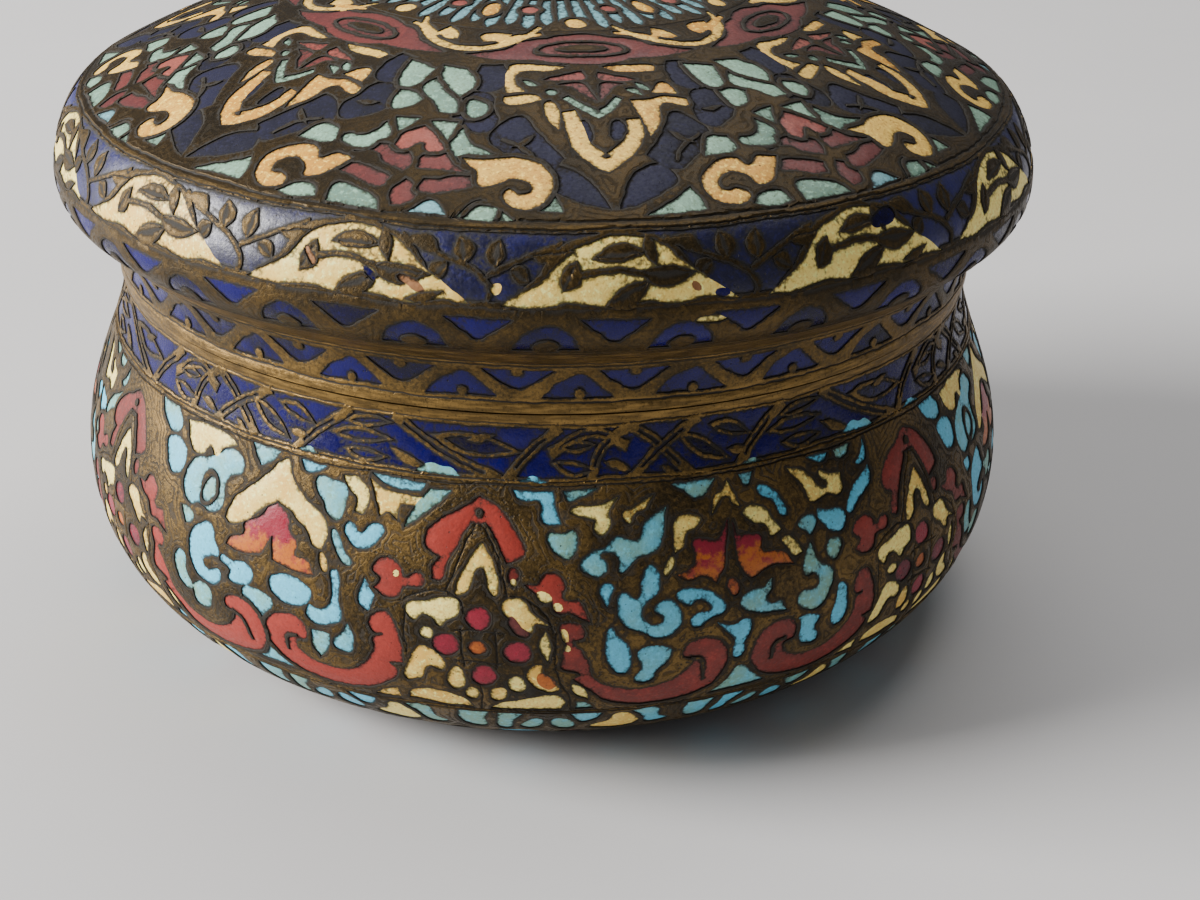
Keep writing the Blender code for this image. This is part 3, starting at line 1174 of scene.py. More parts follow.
# The red pointed arch that ends in two curled arms
OGEE = [
    blob("brick", (-7.0, 7.6, 1), (-4.6, 8.7), (-3.1, 10.4), (-2.0, 12.3), (-2.5, 12.9), (-3.9, 13.4, 1),
         (-5.0, 11.4), (-6.1, 9.9, 1), (-7.9, 9.9, 1), (-9.3, 12.0), (-10.2, 13.6), (-10.7, 15.1),
         (-11.7, 15.1, 1), (-11.6, 13.9), (-11.0, 13.0, 1), (-12.3, 12.4), (-12.6, 11.3), (-11.4, 9.9),
         (-9.2, 8.8)),
    spot("brass", -6.95, 9.0, 0.5, 0.4),
    *blobs(
        "brick",
        ((-3.6, 14.0), (-2.9, 13.8), (-2.5, 14.6), (-3.0, 15.2), (-3.6, 14.8)),
        ((-1.8, 15.2, 1), (-0.5, 15.2), (0.2, 14.2), (1.5, 14.4), (2.3, 15.3), (2.0, 16.4), (2.9, 16.9),
         (3.6, 16.7), (4.2, 17.7), (4.7, 18.8, 1), (2.9, 18.0), (1.4, 17.9), (0.8, 16.7), (-0.6, 16.1)),
        ((-16.8, 13.9), (-15.3, 14.4), (-14.6, 15.4), (-13.4, 14.8), (-12.5, 15.2), (-12.9, 16.0),
         (-14.7, 16.3), (-15.2, 17.3), (-16.6, 17.5), (-17.9, 16.8, 1), (-17.2, 16.0), (-18.1, 14.9)),
        ((1.7, 19.3), (2.9, 18.9), (4.0, 19.4), (3.9, 20.4), (2.8, 20.8), (3.6, 21.6), (4.4, 23.0),
         (5.0, 24.6), (6.6, 25.9), (8.9, 26.7), (11.4, 26.8), (13.8, 26.0), (15.4, 24.8), (15.9, 23.8),
         (14.7, 23.3), (14.9, 22.2), (16.9, 21.7), (18.7, 22.4), (19.7, 24.2), (19.4, 26.3), (17.9, 27.9),
         (14.5, 28.9), (10.5, 29.1), (7.2, 28.3), (5.2, 26.6), (3.0, 24.9, 1), (3.8, 24.2), (1.7, 23.4),
         (2.1, 21.2)),
        ((-18.0, 19.7), (-16.6, 19.0), (-15.6, 20.2), (-15.0, 22.6), (-14.9, 24.2, 1), (-16.4, 24.4, 1),
         (-15.6, 25.3), (-17.1, 27.1), (-20.7, 28.7), (-24.7, 29.0), (-28.6, 28.0), (-30.8, 26.1),
         (-31.3, 24.0), (-30.2, 22.2), (-28.1, 21.5), (-26.2, 22.2), (-26.1, 23.8), (-27.3, 24.2),
         (-27.0, 25.6), (-24.4, 26.6), (-21.4, 26.3), (-19.2, 24.8), (-18.1, 23.0), (-18.0, 21.9),
         (-16.9, 21.4, 1), (-18.2, 21.1)),
    ),
    ribbon("brass", (0.3, 0.4, 0.35, 0.3), (15.6, 23.6), (16.9, 24.2), (17.5, 26.6)),
    ribbon("brass", (0.3, 0.4, 0.35, 0.3), (-27.2, 23.7), (-28.5, 24.2), (-28.7, 25.9)),
]

# Cream cells round a flower of ruby petals
OGEE_INSIDE = [
    blob("cream", (-6.6, 11.7, 1), (-8.0, 13.2), (-9.2, 16.3), (-7.9, 16.0), (-7.1, 14.0), (-6.3, 14.0),
         (-5.6, 15.9), (-4.7, 16.2), (-5.2, 13.7)),
    blob("cream", (-14.4, 18.1), (-12.6, 17.4), (-9.2, 16.8), (-8.8, 18.3), (-10.2, 19.1), (-10.8, 19.7),
         (-11.6, 18.9), (-12.8, 18.7), (-13.6, 19.4)),
    blob("cream", (-4.2, 17.2), (-2.2, 16.5), (-0.9, 18.0), (0.6, 19.1, 1), (-0.9, 18.9), (-1.2, 19.8),
         (-2.5, 18.9)),
    leaf("cream", (0.2, 19.7), (0.3, 22.7), 1.1, 0.2),
    spot("cream", -12.2, 20.5, 0.75, 0.6),
    spot("ruby", -6.7, 18.6, 1.3, 1.15),
    spot("ruby", -2.8, 21.8, 1.45, 1.15),
    spot("ruby", -10.2, 21.5, 1.4, 1.2),
    spot("ruby", -6.3, 24.7, 1.3, 1.2),
    spot("amber", -6.9, 21.6, 0.95, 0.75),
    *blobs(
        "cream",
        ((-13.0, 22.0), (-10.9, 22.9), (-10.6, 24.3), (-12.2, 24.2), (-13.2, 25.9, 1), (-14.8, 26.0),
         (-14.3, 24.0)),
        ((-9.5, 23.9), (-8.5, 24.6), (-8.7, 26.5), (-10.2, 26.2)),
        ((-0.6, 23.0), (-0.1, 24.3), (1.2, 25.4), (1.5, 26.3), (-0.4, 26.2), (-1.9, 24.3)),
        ((-3.1, 24.5), (-2.3, 24.9), (-2.1, 26.3), (-3.3, 26.5), (-3.8, 25.3)),
    ),
    spot("cream", -7.6, 27.1, 0.75, 0.85),
    spot("cream", -4.8, 27.0, 0.85, 1.0, 20.0),
    *blobs(
        "cream",
        ((-14.7, 28.9, 1), (-14.3, 27.6), (-11.8, 27.2), (-8.6, 28.0), (-7.6, 29.3, 1), (-11.4, 29.3)),
        ((-5.7, 29.3, 1), (-4.4, 28.3), (-1.3, 27.4), (1.3, 27.0), (2.4, 28.3), (1.9, 29.3, 1)),
        ((-18.5, 29.2, 1), (-17.2, 28.1), (-15.9, 27.7, 1), (-15.6, 29.2, 1)),
        ((3.0, 25.4, 1), (4.4, 26.3), (4.9, 27.8, 1), (3.7, 26.9)),
    ),
    blob("turquoise", (3.6, 28.1, 1), (4.6, 28.3), (5.6, 29.2, 1), (3.6, 29.2, 1)),
]

# The turquoise scrolls that fill the foot of a field between two ogees
FIELD_SCROLLS = [
    *blobs(
        "turquoise",
        ((5.8, 15.6), (7.1, 15.2), (7.0, 16.4), (6.5, 17.4, 1), (6.1, 16.6)),
        ((8.1, 16.1), (9.7, 16.8), (10.2, 15.2), (11.4, 13.9), (12.0, 16.2), (10.3, 17.6), (10.3, 18.8),
         (11.4, 19.6), (12.4, 19.3), (12.2, 18.7), (11.4, 18.2), (12.0, 17.4), (13.3, 17.4), (14.2, 18.7),
         (13.9, 20.1), (12.3, 21.0), (10.3, 20.2), (8.3, 19.3), (7.6, 17.8)),
        ((13.8, 16.7), (16.9, 16.7), (18.9, 18.1), (19.1, 19.1), (17.4, 19.6), (15.6, 20.4), (15.1, 19.6),
         (16.0, 18.9), (17.4, 18.8), (17.2, 18.0), (16.1, 17.6), (14.9, 18.0)),
        ((20.8, 18.6), (22.1, 17.6), (23.4, 17.6), (24.8, 16.8, 1), (24.6, 17.9), (23.9, 18.6),
         (24.5, 19.4), (25.6, 19.3), (26.5, 20.5, 1), (24.3, 20.2), (22.2, 19.8)),
        ((29.9, 14.5, 1), (30.8, 16.5), (32.7, 17.8), (32.4, 19.6), (31.0, 21.2), (29.5, 21.2),
         (28.0, 20.0), (28.8, 19.0), (30.0, 19.2), (30.9, 18.5), (30.3, 17.5), (29.1, 17.5), (28.9, 16.2)),
        ((6.9, 19.4), (7.5, 20.3), (8.7, 21.2), (9.2, 23.2), (8.6, 24.6), (6.9, 23.4), (6.3, 21.0)),
        ((10.1, 22.0), (13.2, 22.2), (13.0, 23.6), (11.9, 24.6), (11.6, 25.7), (9.7, 25.6), (10.4, 24.1)),
        ((18.1, 20.2, 1), (19.8, 20.8), (21.8, 20.4), (22.1, 21.6), (21.6, 22.7), (21.4, 24.5),
         (20.4, 24.3), (20.2, 22.4), (19.3, 21.4)),
        ((28.0, 22.2), (31.1, 22.2), (30.6, 23.6), (31.2, 25.0), (29.4, 25.1), (28.5, 24.0)),
        ((33.9, 19.4), (34.8, 21.5), (34.5, 23.6), (33.3, 24.1), (32.7, 23.0), (33.2, 21.2)),
        ((32.1, 15.3), (34.0, 15.1), (33.8, 16.2), (32.8, 16.8)),
        ((21.4, 25.7), (20.3, 27.4), (18.6, 29.0, 1), (25.1, 28.8, 1), (23.3, 27.2)),
    ),
    blob("amber", (19.5, 16.4), (20.1, 16.1), (20.8, 17.0), (20.3, 17.8), (19.6, 17.1)),
]

# The upper half of a field: a flame palmette under separate cream petals
FIELD_PETALS = [
    *blobs(
        "turquoise",
        ((-3.5, 6.9, 1), (0.9, 6.9, 1), (1.2, 8.2), (1.7, 9.8, 1), (-0.1, 9.6), (-0.4, 7.9), (-2.6, 7.7)),
        ((2.1, 6.9, 1), (5.8, 6.8, 1), (4.6, 7.3), (2.6, 7.7)),
        ((14.0, 6.8, 1), (19.1, 6.8, 1), (17.6, 8.0), (16.4, 8.3), (15.3, 7.5)),
        ((22.1, 6.8, 1), (23.9, 6.8, 1), (22.9, 7.9)),
        ((0.3, 10.7), (1.7, 10.7), (3.2, 10.5), (2.8, 12.7), (0.9, 12.1)),
        ((3.7, 13.4), (5.0, 12.3), (6.5, 11.9), (7.8, 11.1), (10.0, 11.6), (11.0, 10.1), (13.3, 8.8, 1),
         (12.9, 11.0), (12.1, 12.6), (9.8, 13.2), (8.1, 14.3), (7.9, 13.0), (7.2, 12.4), (5.9, 12.6),
         (6.6, 13.4), (6.6, 14.1), (5.3, 14.4)),
    ),
    *blobs(
        "cream",
        ((2.8, 8.5), (5.9, 8.3), (8.0, 7.6, 1), (6.9, 9.0), (7.1, 10.0), (6.1, 10.9), (5.3, 10.3),
         (5.5, 9.6), (4.4, 9.3)),
        ((8.5, 9.1), (9.5, 8.7), (12.0, 7.6, 1), (10.9, 8.8), (9.9, 9.1), (9.2, 10.0)),
        ((14.4, 9.9), (16.8, 10.1), (16.3, 11.0), (15.1, 11.5), (14.9, 12.6), (14.0, 13.2, 1),
         (13.9, 11.8)),
        ((13.0, 14.0), (13.8, 13.5), (13.5, 14.5), (12.6, 15.0)),
        ((18.2, 9.9, 1), (18.6, 8.5), (19.9, 7.9), (20.6, 7.1, 1), (21.2, 8.4), (21.6, 9.6, 1), (20.9, 9.4),
         (20.3, 8.5), (19.4, 8.8)),
        ((21.9, 10.0), (24.4, 10.1), (25.2, 11.3), (26.3, 12.6, 1), (24.9, 12.9), (24.4, 11.8),
         (22.6, 11.1)),
        ((26.4, 13.4), (27.8, 13.8), (28.8, 15.2, 1), (27.9, 15.4), (27.1, 14.5)),
        ((28.0, 7.3, 1), (30.0, 7.9), (31.3, 9.0), (32.1, 9.9), (33.2, 9.7), (32.3, 8.4), (33.7, 8.8),
         (35.4, 9.0, 1), (34.9, 10.9), (33.0, 10.6), (30.6, 10.9), (29.8, 9.2)),
    ),
    blob("flame", (20.0, 10.6, 1), (19.2, 11.7), (18.5, 12.5), (17.0, 12.1), (15.9, 12.2), (16.2, 13.9),
         (15.5, 14.7), (14.1, 15.1, 1), (15.2, 15.7), (16.8, 15.4), (18.3, 16.2, 1), (19.2, 15.0),
         (19.5, 12.8), fade=((20.0, 12.2), (20.0, 15.0))),
    blob("flame", (20.4, 10.9, 1), (20.9, 12.2), (22.0, 12.3), (23.7, 12.8), (23.6, 14.1), (25.3, 14.4),
         (26.5, 14.8), (27.6, 16.1, 1), (25.0, 15.6), (22.2, 16.4, 1), (21.1, 15.3), (20.6, 13.4),
         fade=((20.0, 12.2), (20.0, 15.0))),
    *blobs(
        "turquoise",
        ((24.0, 8.4), (25.9, 8.8), (26.9, 10.2), (27.3, 11.5, 1), (26.4, 11.2), (25.7, 9.8)),
        ((28.5, 12.5), (30.8, 12.4), (30.2, 13.9), (29.5, 13.5)),
        ((31.2, 11.9), (32.4, 12.1), (34.8, 12.6), (34.7, 14.1), (33.0, 14.2), (31.9, 13.3)),
        ((35.5, 13.0), (36.5, 11.0), (38.3, 10.1), (39.8, 9.5, 1), (39.6, 11.0), (37.4, 12.1)),
        ((35.0, 6.8, 1), (37.7, 6.8, 1), (36.9, 7.6), (35.4, 7.6)),
        ((31.0, 6.8, 1), (34.1, 6.8, 1), (33.2, 7.5)),
        ((38.1, 8.9), (39.0, 8.2), (39.9, 6.8, 1), (39.8, 8.6)),
    ),
]

# A whole field of the other kind: a flame palmette under one cream cloud, over pale scrolls
FIELD_CLOUD = [
    blob("cream", (-37.2, 14.2, 1), (-36.6, 12.2), (-35.4, 11.0), (-33.9, 9.9), (-32.6, 8.9), (-31.2, 7.6),
         (-29.9, 6.9, 1), (-28.6, 8.7), (-26.6, 10.2), (-24.8, 11.1), (-23.7, 12.5), (-24.2, 14.2, 1),
         (-25.4, 13.9), (-26.1, 12.9), (-27.5, 12.2), (-28.8, 11.4), (-30.5, 11.0, 1), (-32.0, 11.8),
         (-33.4, 12.9), (-34.8, 14.0), (-36.4, 14.5)),
    blob("flame", (-30.5, 11.2, 1), (-28.9, 12.0), (-28.4, 13.5), (-27.3, 14.2), (-27.4, 15.4),
         (-25.8, 15.6), (-24.9, 16.8, 1), (-27.5, 16.9), (-30.3, 16.6, 1), (-30.7, 14.4, 1),
         (-31.9, 16.3, 1), (-34.0, 16.9), (-36.7, 16.6, 1), (-35.9, 15.7), (-34.4, 15.1), (-34.5, 14.0),
         (-32.6, 13.0), (-31.7, 11.9), fade=((-31.0, 13.4), (-31.0, 15.4))),
    blob("turquoise", (-41.6, 9.6), (-39.9, 8.9), (-39.0, 8.0), (-36.9, 8.0), (-36.0, 9.4), (-37.6, 10.2),
         (-38.2, 11.5), (-38.0, 13.3), (-39.6, 14.3), (-41.6, 14.0), (-43.4, 14.4), (-44.9, 12.8),
         (-44.2, 10.7)),
    blob("brass", (-40.2, 10.5), (-39.0, 11.9), (-39.6, 13.5), (-41.2, 14.0), (-41.8, 12.5), (-41.4, 11.0)),
    blob("turquoise", (-40.2, 11.1), (-39.4, 12.1), (-39.9, 13.2), (-41.0, 13.5), (-41.4, 12.4)),
    blob("cream", (-46.4, 7.2, 1), (-42.5, 6.7), (-38.8, 6.9), (-37.6, 7.3, 1), (-39.4, 8.0), (-40.4, 9.2),
         (-41.6, 8.5), (-42.7, 9.6), (-44.8, 9.4)),
    *blobs(
        "turquoise",
        ((-52.2, 6.6, 1), (-48.7, 6.6, 1), (-47.4, 8.0), (-48.6, 9.0), (-51.0, 8.0)),
        ((-49.2, 9.6), (-45.9, 9.8), (-45.6, 11.9), (-47.3, 12.6), (-48.8, 11.2)),
        ((-35.4, 6.5, 1), (-31.2, 6.6, 1), (-32.2, 7.6), (-33.8, 8.2, 1)),
        ((-28.2, 6.6, 1), (-25.0, 6.6, 1), (-26.2, 7.3), (-27.2, 7.5)),
        ((-26.0, 7.9), (-24.2, 7.7), (-22.4, 8.1), (-22.2, 10.0), (-22.7, 11.3), (-24.0, 11.0),
         (-24.8, 9.8)),
        ((-23.3, 12.3), (-22.5, 12.6), (-21.6, 14.0), (-20.6, 14.9), (-21.5, 15.1), (-22.7, 13.8)),
        ((-21.8, 11.6), (-20.8, 11.5), (-20.0, 12.2), (-19.0, 11.4), (-17.8, 11.1), (-17.2, 11.7),
         (-17.8, 12.6), (-19.0, 13.4), (-20.6, 13.3), (-21.6, 12.6)),
    ),
    blob("cream", (-22.8, 7.1, 1), (-21.2, 7.1, 1), (-19.6, 8.3), (-19.9, 10.3), (-20.9, 10.4, 1),
         (-20.9, 9.1), (-22.0, 8.3)),
    blob("cream", (-19.6, 7.1, 1), (-17.8, 7.9), (-15.1, 8.1), (-12.9, 8.0, 1), (-13.6, 8.8), (-15.6, 9.1),
         (-15.8, 10.5, 1), (-16.9, 9.9), (-17.9, 10.4, 1), (-18.7, 8.8)),
    blob("turquoise", (-19.4, 6.6, 1), (-13.2, 6.8, 1), (-13.6, 7.4), (-16.9, 7.5)),
    blob("turquoise", (-12.6, 7.2, 1), (-10.2, 7.1, 1), (-11.2, 8.1), (-13.1, 9.6), (-15.0, 11.0, 1),
         (-14.3, 9.4)),
    blob("cream", (-24.4, 14.5), (-23.6, 14.9), (-23.3, 16.1), (-24.1, 15.8)),
    *blobs(
        "turquoise",
        ((-44.4, 15.0, 1), (-42.6, 15.1), (-42.2, 15.9), (-43.4, 16.5, 1)),
        ((-40.4, 15.6), (-39.0, 15.5), (-38.4, 16.9), (-37.6, 18.1), (-39.0, 18.6), (-40.1, 19.5),
         (-39.3, 20.3), (-38.5, 19.8), (-37.5, 19.7), (-37.5, 20.9), (-38.8, 21.6), (-40.7, 21.4),
         (-42.0, 20.3), (-42.4, 18.8), (-42.2, 17.0)),
        ((-37.4, 18.2), (-35.6, 18.1), (-34.0, 17.8), (-32.7, 18.6), (-33.0, 19.7), (-34.5, 20.2),
         (-36.0, 20.0), (-35.9, 19.1)),
        ((-30.2, 18.2), (-28.0, 17.5), (-25.4, 18.3), (-25.5, 19.7), (-27.5, 20.5), (-29.7, 20.0),
         (-30.5, 19.1)),
        ((-22.9, 16.0), (-22.0, 16.0), (-21.9, 18.9), (-21.5, 20.3), (-22.1, 21.2), (-24.5, 21.8),
         (-25.9, 21.0), (-25.5, 19.9, 1), (-24.1, 20.2), (-22.9, 19.2), (-22.7, 17.6)),
        ((-44.8, 20.1), (-43.2, 19.8), (-43.1, 21.5), (-42.2, 23.1), (-43.5, 23.6), (-44.9, 22.2)),
        ((-41.8, 22.6), (-39.1, 22.3), (-39.4, 24.3), (-40.9, 24.9), (-42.0, 24.4)),
        ((-33.9, 20.3), (-31.9, 20.1), (-30.1, 20.8), (-30.9, 22.5), (-31.9, 23.9, 1), (-32.9, 22.8),
         (-33.9, 21.4)),
        ((-25.3, 22.6, 1), (-23.2, 22.6, 1), (-23.6, 24.3), (-24.6, 25.5, 1), (-25.4, 24.4)),
        ((-20.9, 21.0, 1), (-20.4, 22.5), (-20.9, 24.0), (-22.3, 24.1), (-22.9, 23.3), (-21.7, 22.2)),
        ((-18.9, 16.0, 1), (-17.9, 17.6), (-18.3, 19.3, 1), (-19.5, 18.4)),
        ((-32.6, 25.2, 1), (-31.4, 26.6), (-28.6, 28.6, 1), (-35.1, 28.6, 1), (-33.4, 26.9)),
    ),
]

# Scallops and cream buds below the engraved lines
FOOT_STRIP = [
    *blobs(
        "turquoise",
        ((-9.4, 30.4, 1), (-6.0, 30.3, 1), (-6.6, 32.0), (-6.8, 34.4), (-8.7, 34.2), (-9.6, 32.2)),
        ((-5.0, 30.3, 1), (-2.2, 30.4, 1), (-3.4, 32.2), (-3.9, 34.8), (-5.2, 34.6)),
        ((-0.6, 31.4), (0.0, 32.6), (-1.2, 34.6), (-2.6, 34.0), (-1.9, 32.2)),
        ((1.6, 31.4), (3.4, 32.4), (3.6, 34.4), (2.0, 34.7), (0.9, 32.9)),
        ((3.0, 30.4, 1), (6.8, 30.4, 1), (6.0, 31.8), (4.6, 32.5)),
    ),
    blob("cream", (8.6, 30.6), (10.4, 31.9), (11.0, 34.2), (9.4, 35.6), (6.2, 35.0), (5.6, 33.9),
         (7.4, 32.6)),
    blob("turquoise", (10.0, 30.4, 1), (12.8, 30.4), (13.2, 32.4), (14.4, 34.0), (12.2, 34.4),
         (11.4, 32.2)),
    blob("turquoise", (-6.8, 37.2, 1), (-4.8, 35.9), (-1.2, 36.2), (0.6, 37.6), (-1.6, 39.2), (-5.2, 39.3)),
    blob("turquoise", (6.0, 37.3, 1), (8.4, 36.5), (11.6, 36.4), (13.4, 37.6), (11.4, 39.2), (7.8, 39.2)),
    blob("brick", (1.8, 36.6), (3.3, 35.9), (4.8, 36.6), (4.2, 38.6), (3.3, 39.6, 1), (2.4, 38.6)),
    spot("cream", 15.4, 36.8, 1.1, 0.9),
]


def outlined_leaf(tail, tip, width, bend):
    """A brass leaf whose heart is filled like the ground."""
    dx, dy = tip[0] - tail[0], tip[1] - tail[1]
    near = (tail[0] + dx * HEART_START, tail[1] + dy * HEART_START)
    far = (tip[0] - dx * HEART_END, tip[1] - dy * HEART_END)
    heart = leaf("cobalt", near, far, width - HEART_RIM, bend * HEART_BEND)
    return [leaf("brass", tail, tip, width, bend), heart]


def lattice():
    """Crossing strands, each with a thin slit, and leaves over the cobalt band under the lip."""
    cells = []
    for start, middle, end in (
        ((-42.4, 1.0), (-39.0, 2.9), (-34.9, 6.0)),
        ((-41.9, 6.0), (-38.6, 3.5), (-33.7, 1.0)),
        ((-29.4, 6.0), (-27.2, 4.0), (-22.6, 1.0)),
        ((-17.5, 1.0), (-12.0, 3.6), (-5.0, 6.0)),
        ((-4.4, 6.0), (-2.4, 3.8), (1.8, 1.0)),
        ((0.4, 3.5), (5.4, 1.6), (9.2, 3.1)),
        ((5.2, 6.0), (6.3, 3.1), (9.4, 1.0)),
    ):
        cells.append(ribbon("brass", (1.05, 0.95, 1.05), start, middle, end))
        slit = smooth((start, middle, end), closed=False)[4:-4:4]
        cells.append(ribbon("cobalt", (0.1, 0.22, 0.1), *slit))
    for tail, tip, width, bend in (
        ((-36.6, 2.2), (-30.2, 5.2), 1.7, 0.1),
        ((-32.6, 1.9), (-27.0, 3.4), 1.5, -0.2),
        ((-25.2, 3.5), (-17.2, 3.2), 1.5, -0.15),
        ((-23.2, 4.7), (-17.6, 4.9), 1.4, 0.2),
        ((-13.2, 2.3), (-2.6, 3.5), 2.1, 0.1),
        ((0.5, 4.2), (6.0, 5.1), 1.4, 0.2),
        ((-23.4, 2.2), (-17.4, 1.7), 1.2, -0.1),
        ((1.6, 2.9), (5.8, 2.7), 1.2, 0.0),
    ):
        cells += outlined_leaf(tail, tip, width, bend)
    cells += [
        leaf("brass", (-17.6, 3.9), (-13.2, 5.5), 0.9, 0.1),
        leaf("brass", (-30.6, 4.3), (-27.8, 4.5), 0.8, 0.1),
        leaf("brass", (-8.8, 2.5), (-5.6, 2.0), 0.8, 0.1),
        leaf("brass", (6.6, 4.4), (9.6, 5.3), 0.8, -0.1),
        leaf("brass", (-38.4, 5.0), (-36.6, 5.9), 0.7, 0.0),
    ]
    return cells

# Pale enamel that ran over the lower edge of the cobalt band
SPILLED_BLUE = [
    blob("turquoise", (-14.6, 5.7, 1), (-12.9, 4.9), (-11.6, 5.1), (-10.6, 5.1), (-9.5, 5.8, 1)),
    blob("turquoise", (-3.3, 5.95, 1), (-1.4, 5.55), (0.2, 5.95, 1)),
    blob("turquoise", (-28.9, 5.9, 1), (-27.4, 5.5), (-26.4, 5.9, 1)),
]


OGEE_LINES = (
    ((-7.0, 9.6), (-8.6, 12.2), (-9.6, 14.8), (-10.2, 16.2)),
    ((-6.9, 9.6), (-5.2, 12.2), (-4.2, 14.6), (-3.6, 16.3)),
    ((-14.9, 17.6), (-12.8, 16.6), (-10.6, 16.2), (-8.6, 16.9), (-8.2, 18.0)),
    ((-3.0, 16.2), (-1.4, 16.6), (0.4, 18.2), (1.2, 20.0)),
    ((-9.0, 19.9), (-6.7, 19.8), (-4.6, 19.9)),
    ((-9.0, 23.2), (-6.6, 23.1), (-4.4, 23.2)),
    ((-8.4, 19.6), (-8.5, 21.6), (-8.3, 23.6)),
    ((-5.0, 19.6), (-4.9, 21.6), (-4.9, 23.6)),
    ((-6.6, 26.0), (-6.5, 27.6), (-6.6, 29.4)),
    ((1.2, 20.4), (1.0, 22.8), (1.6, 25.0), (2.8, 27.2), (3.0, 29.2)),
    ((-14.4, 18.4), (-14.6, 20.8), (-14.4, 22.8)),
)

# Pale chips and spots of wear on the front of the body
CHIPS = [
    blob("cream", (-0.4, 16.0), (0.6, 16.2), (0.9, 16.8), (-0.1, 16.7)),
    spot("cream", 1.6, 17.4, 0.42, 0.35, 20.0),
    blob("cream", (1.9, 19.6), (2.3, 19.8), (2.3, 20.7), (1.8, 20.5)),
    spot("cream", 2.3, 21.4, 0.3, 0.22, 30.0),
    spot("cream", -3.0, 15.1, 0.3, 0.3),
    blob("amber", (-0.6, 24.2), (0.8, 24.8), (1.2, 25.8), (-0.2, 25.9)),
    blob("cream", (3.0, 25.6), (3.9, 26.1), (4.7, 27.4), (3.8, 27.2)),
    spot("cream", -15.6, 15.2, 0.25, 0.25),
    blob("maroon", (-3.4, 18.2), (-2.2, 19.2), (-1.4, 20.1), (-2.8, 19.8)),
]


def body_lattice():
    """The body's lip and the lattice band under it."""
    zone = Band("body_lattice", BODY, 0.0, LATTICE_BOTTOM, BAND_RADIUS_BODY, seed=31)
    zone.ring_band("cobalt", 1.2, 5.6)
    for index in range(REPEATS):
        zone.add(lattice(), index * REPEAT_ANGLE)
    for index in (0, 1, 4):
        zone.add(SPILLED_BLUE, index * REPEAT_ANGLE)
    for length, line in ((0.85, (0.25, 0.08)), (5.95, (0.26, 0.12))):
        zone.ring_line(*line, length)
    zone.plain = ((0.0, 1.1), (5.85, LATTICE_BOTTOM))
    return zone


def body_side():
    """The whole ornament of the body's bulging side."""
    zone = Band("body_side", BODY, LATTICE_BOTTOM, BODY.end, BAND_RADIUS_BODY, seed=37)
    for index in range(REPEATS):
        angle = index * REPEAT_ANGLE
        if index in CLOUD_FIELDS:
            zone.add(FIELD_CLOUD, angle + OGEE_SHIFTS[index] * 0.4)
        if index in PETAL_FIELDS:
            zone.add(FIELD_SCROLLS, angle)
            zone.add(FIELD_PETALS, angle)
    for index in range(REPEATS):
        angle = index * REPEAT_ANGLE + OGEE_SHIFTS[index]
        zone.add(OGEE, angle, HALO)
        zone.add(OGEE_INSIDE, angle)
        for line in OGEE_LINES:
            zone.engrave(*ARCH_LINE, *line, angle=angle)
    for index in range(REPEATS * 2):
        zone.add(FOOT_STRIP, index * REPEAT_ANGLE / 2.0)
    zone.add(CHIPS)
    for length, line in (
        (6.45, (0.26, 0.12)),
        (29.6, BORDER_LINE),
        (30.0, ARCH_LINE),
        (41.2, FINE_LINE),
        (41.8, FINE_LINE),
    ):
        zone.ring_line(*line, length)
    return zone


# Slots of the fillings, and their finishes

# Dirt in hollows, as a linear colour
GRIME = (0.012, 0.009, 0.005, 1.0)


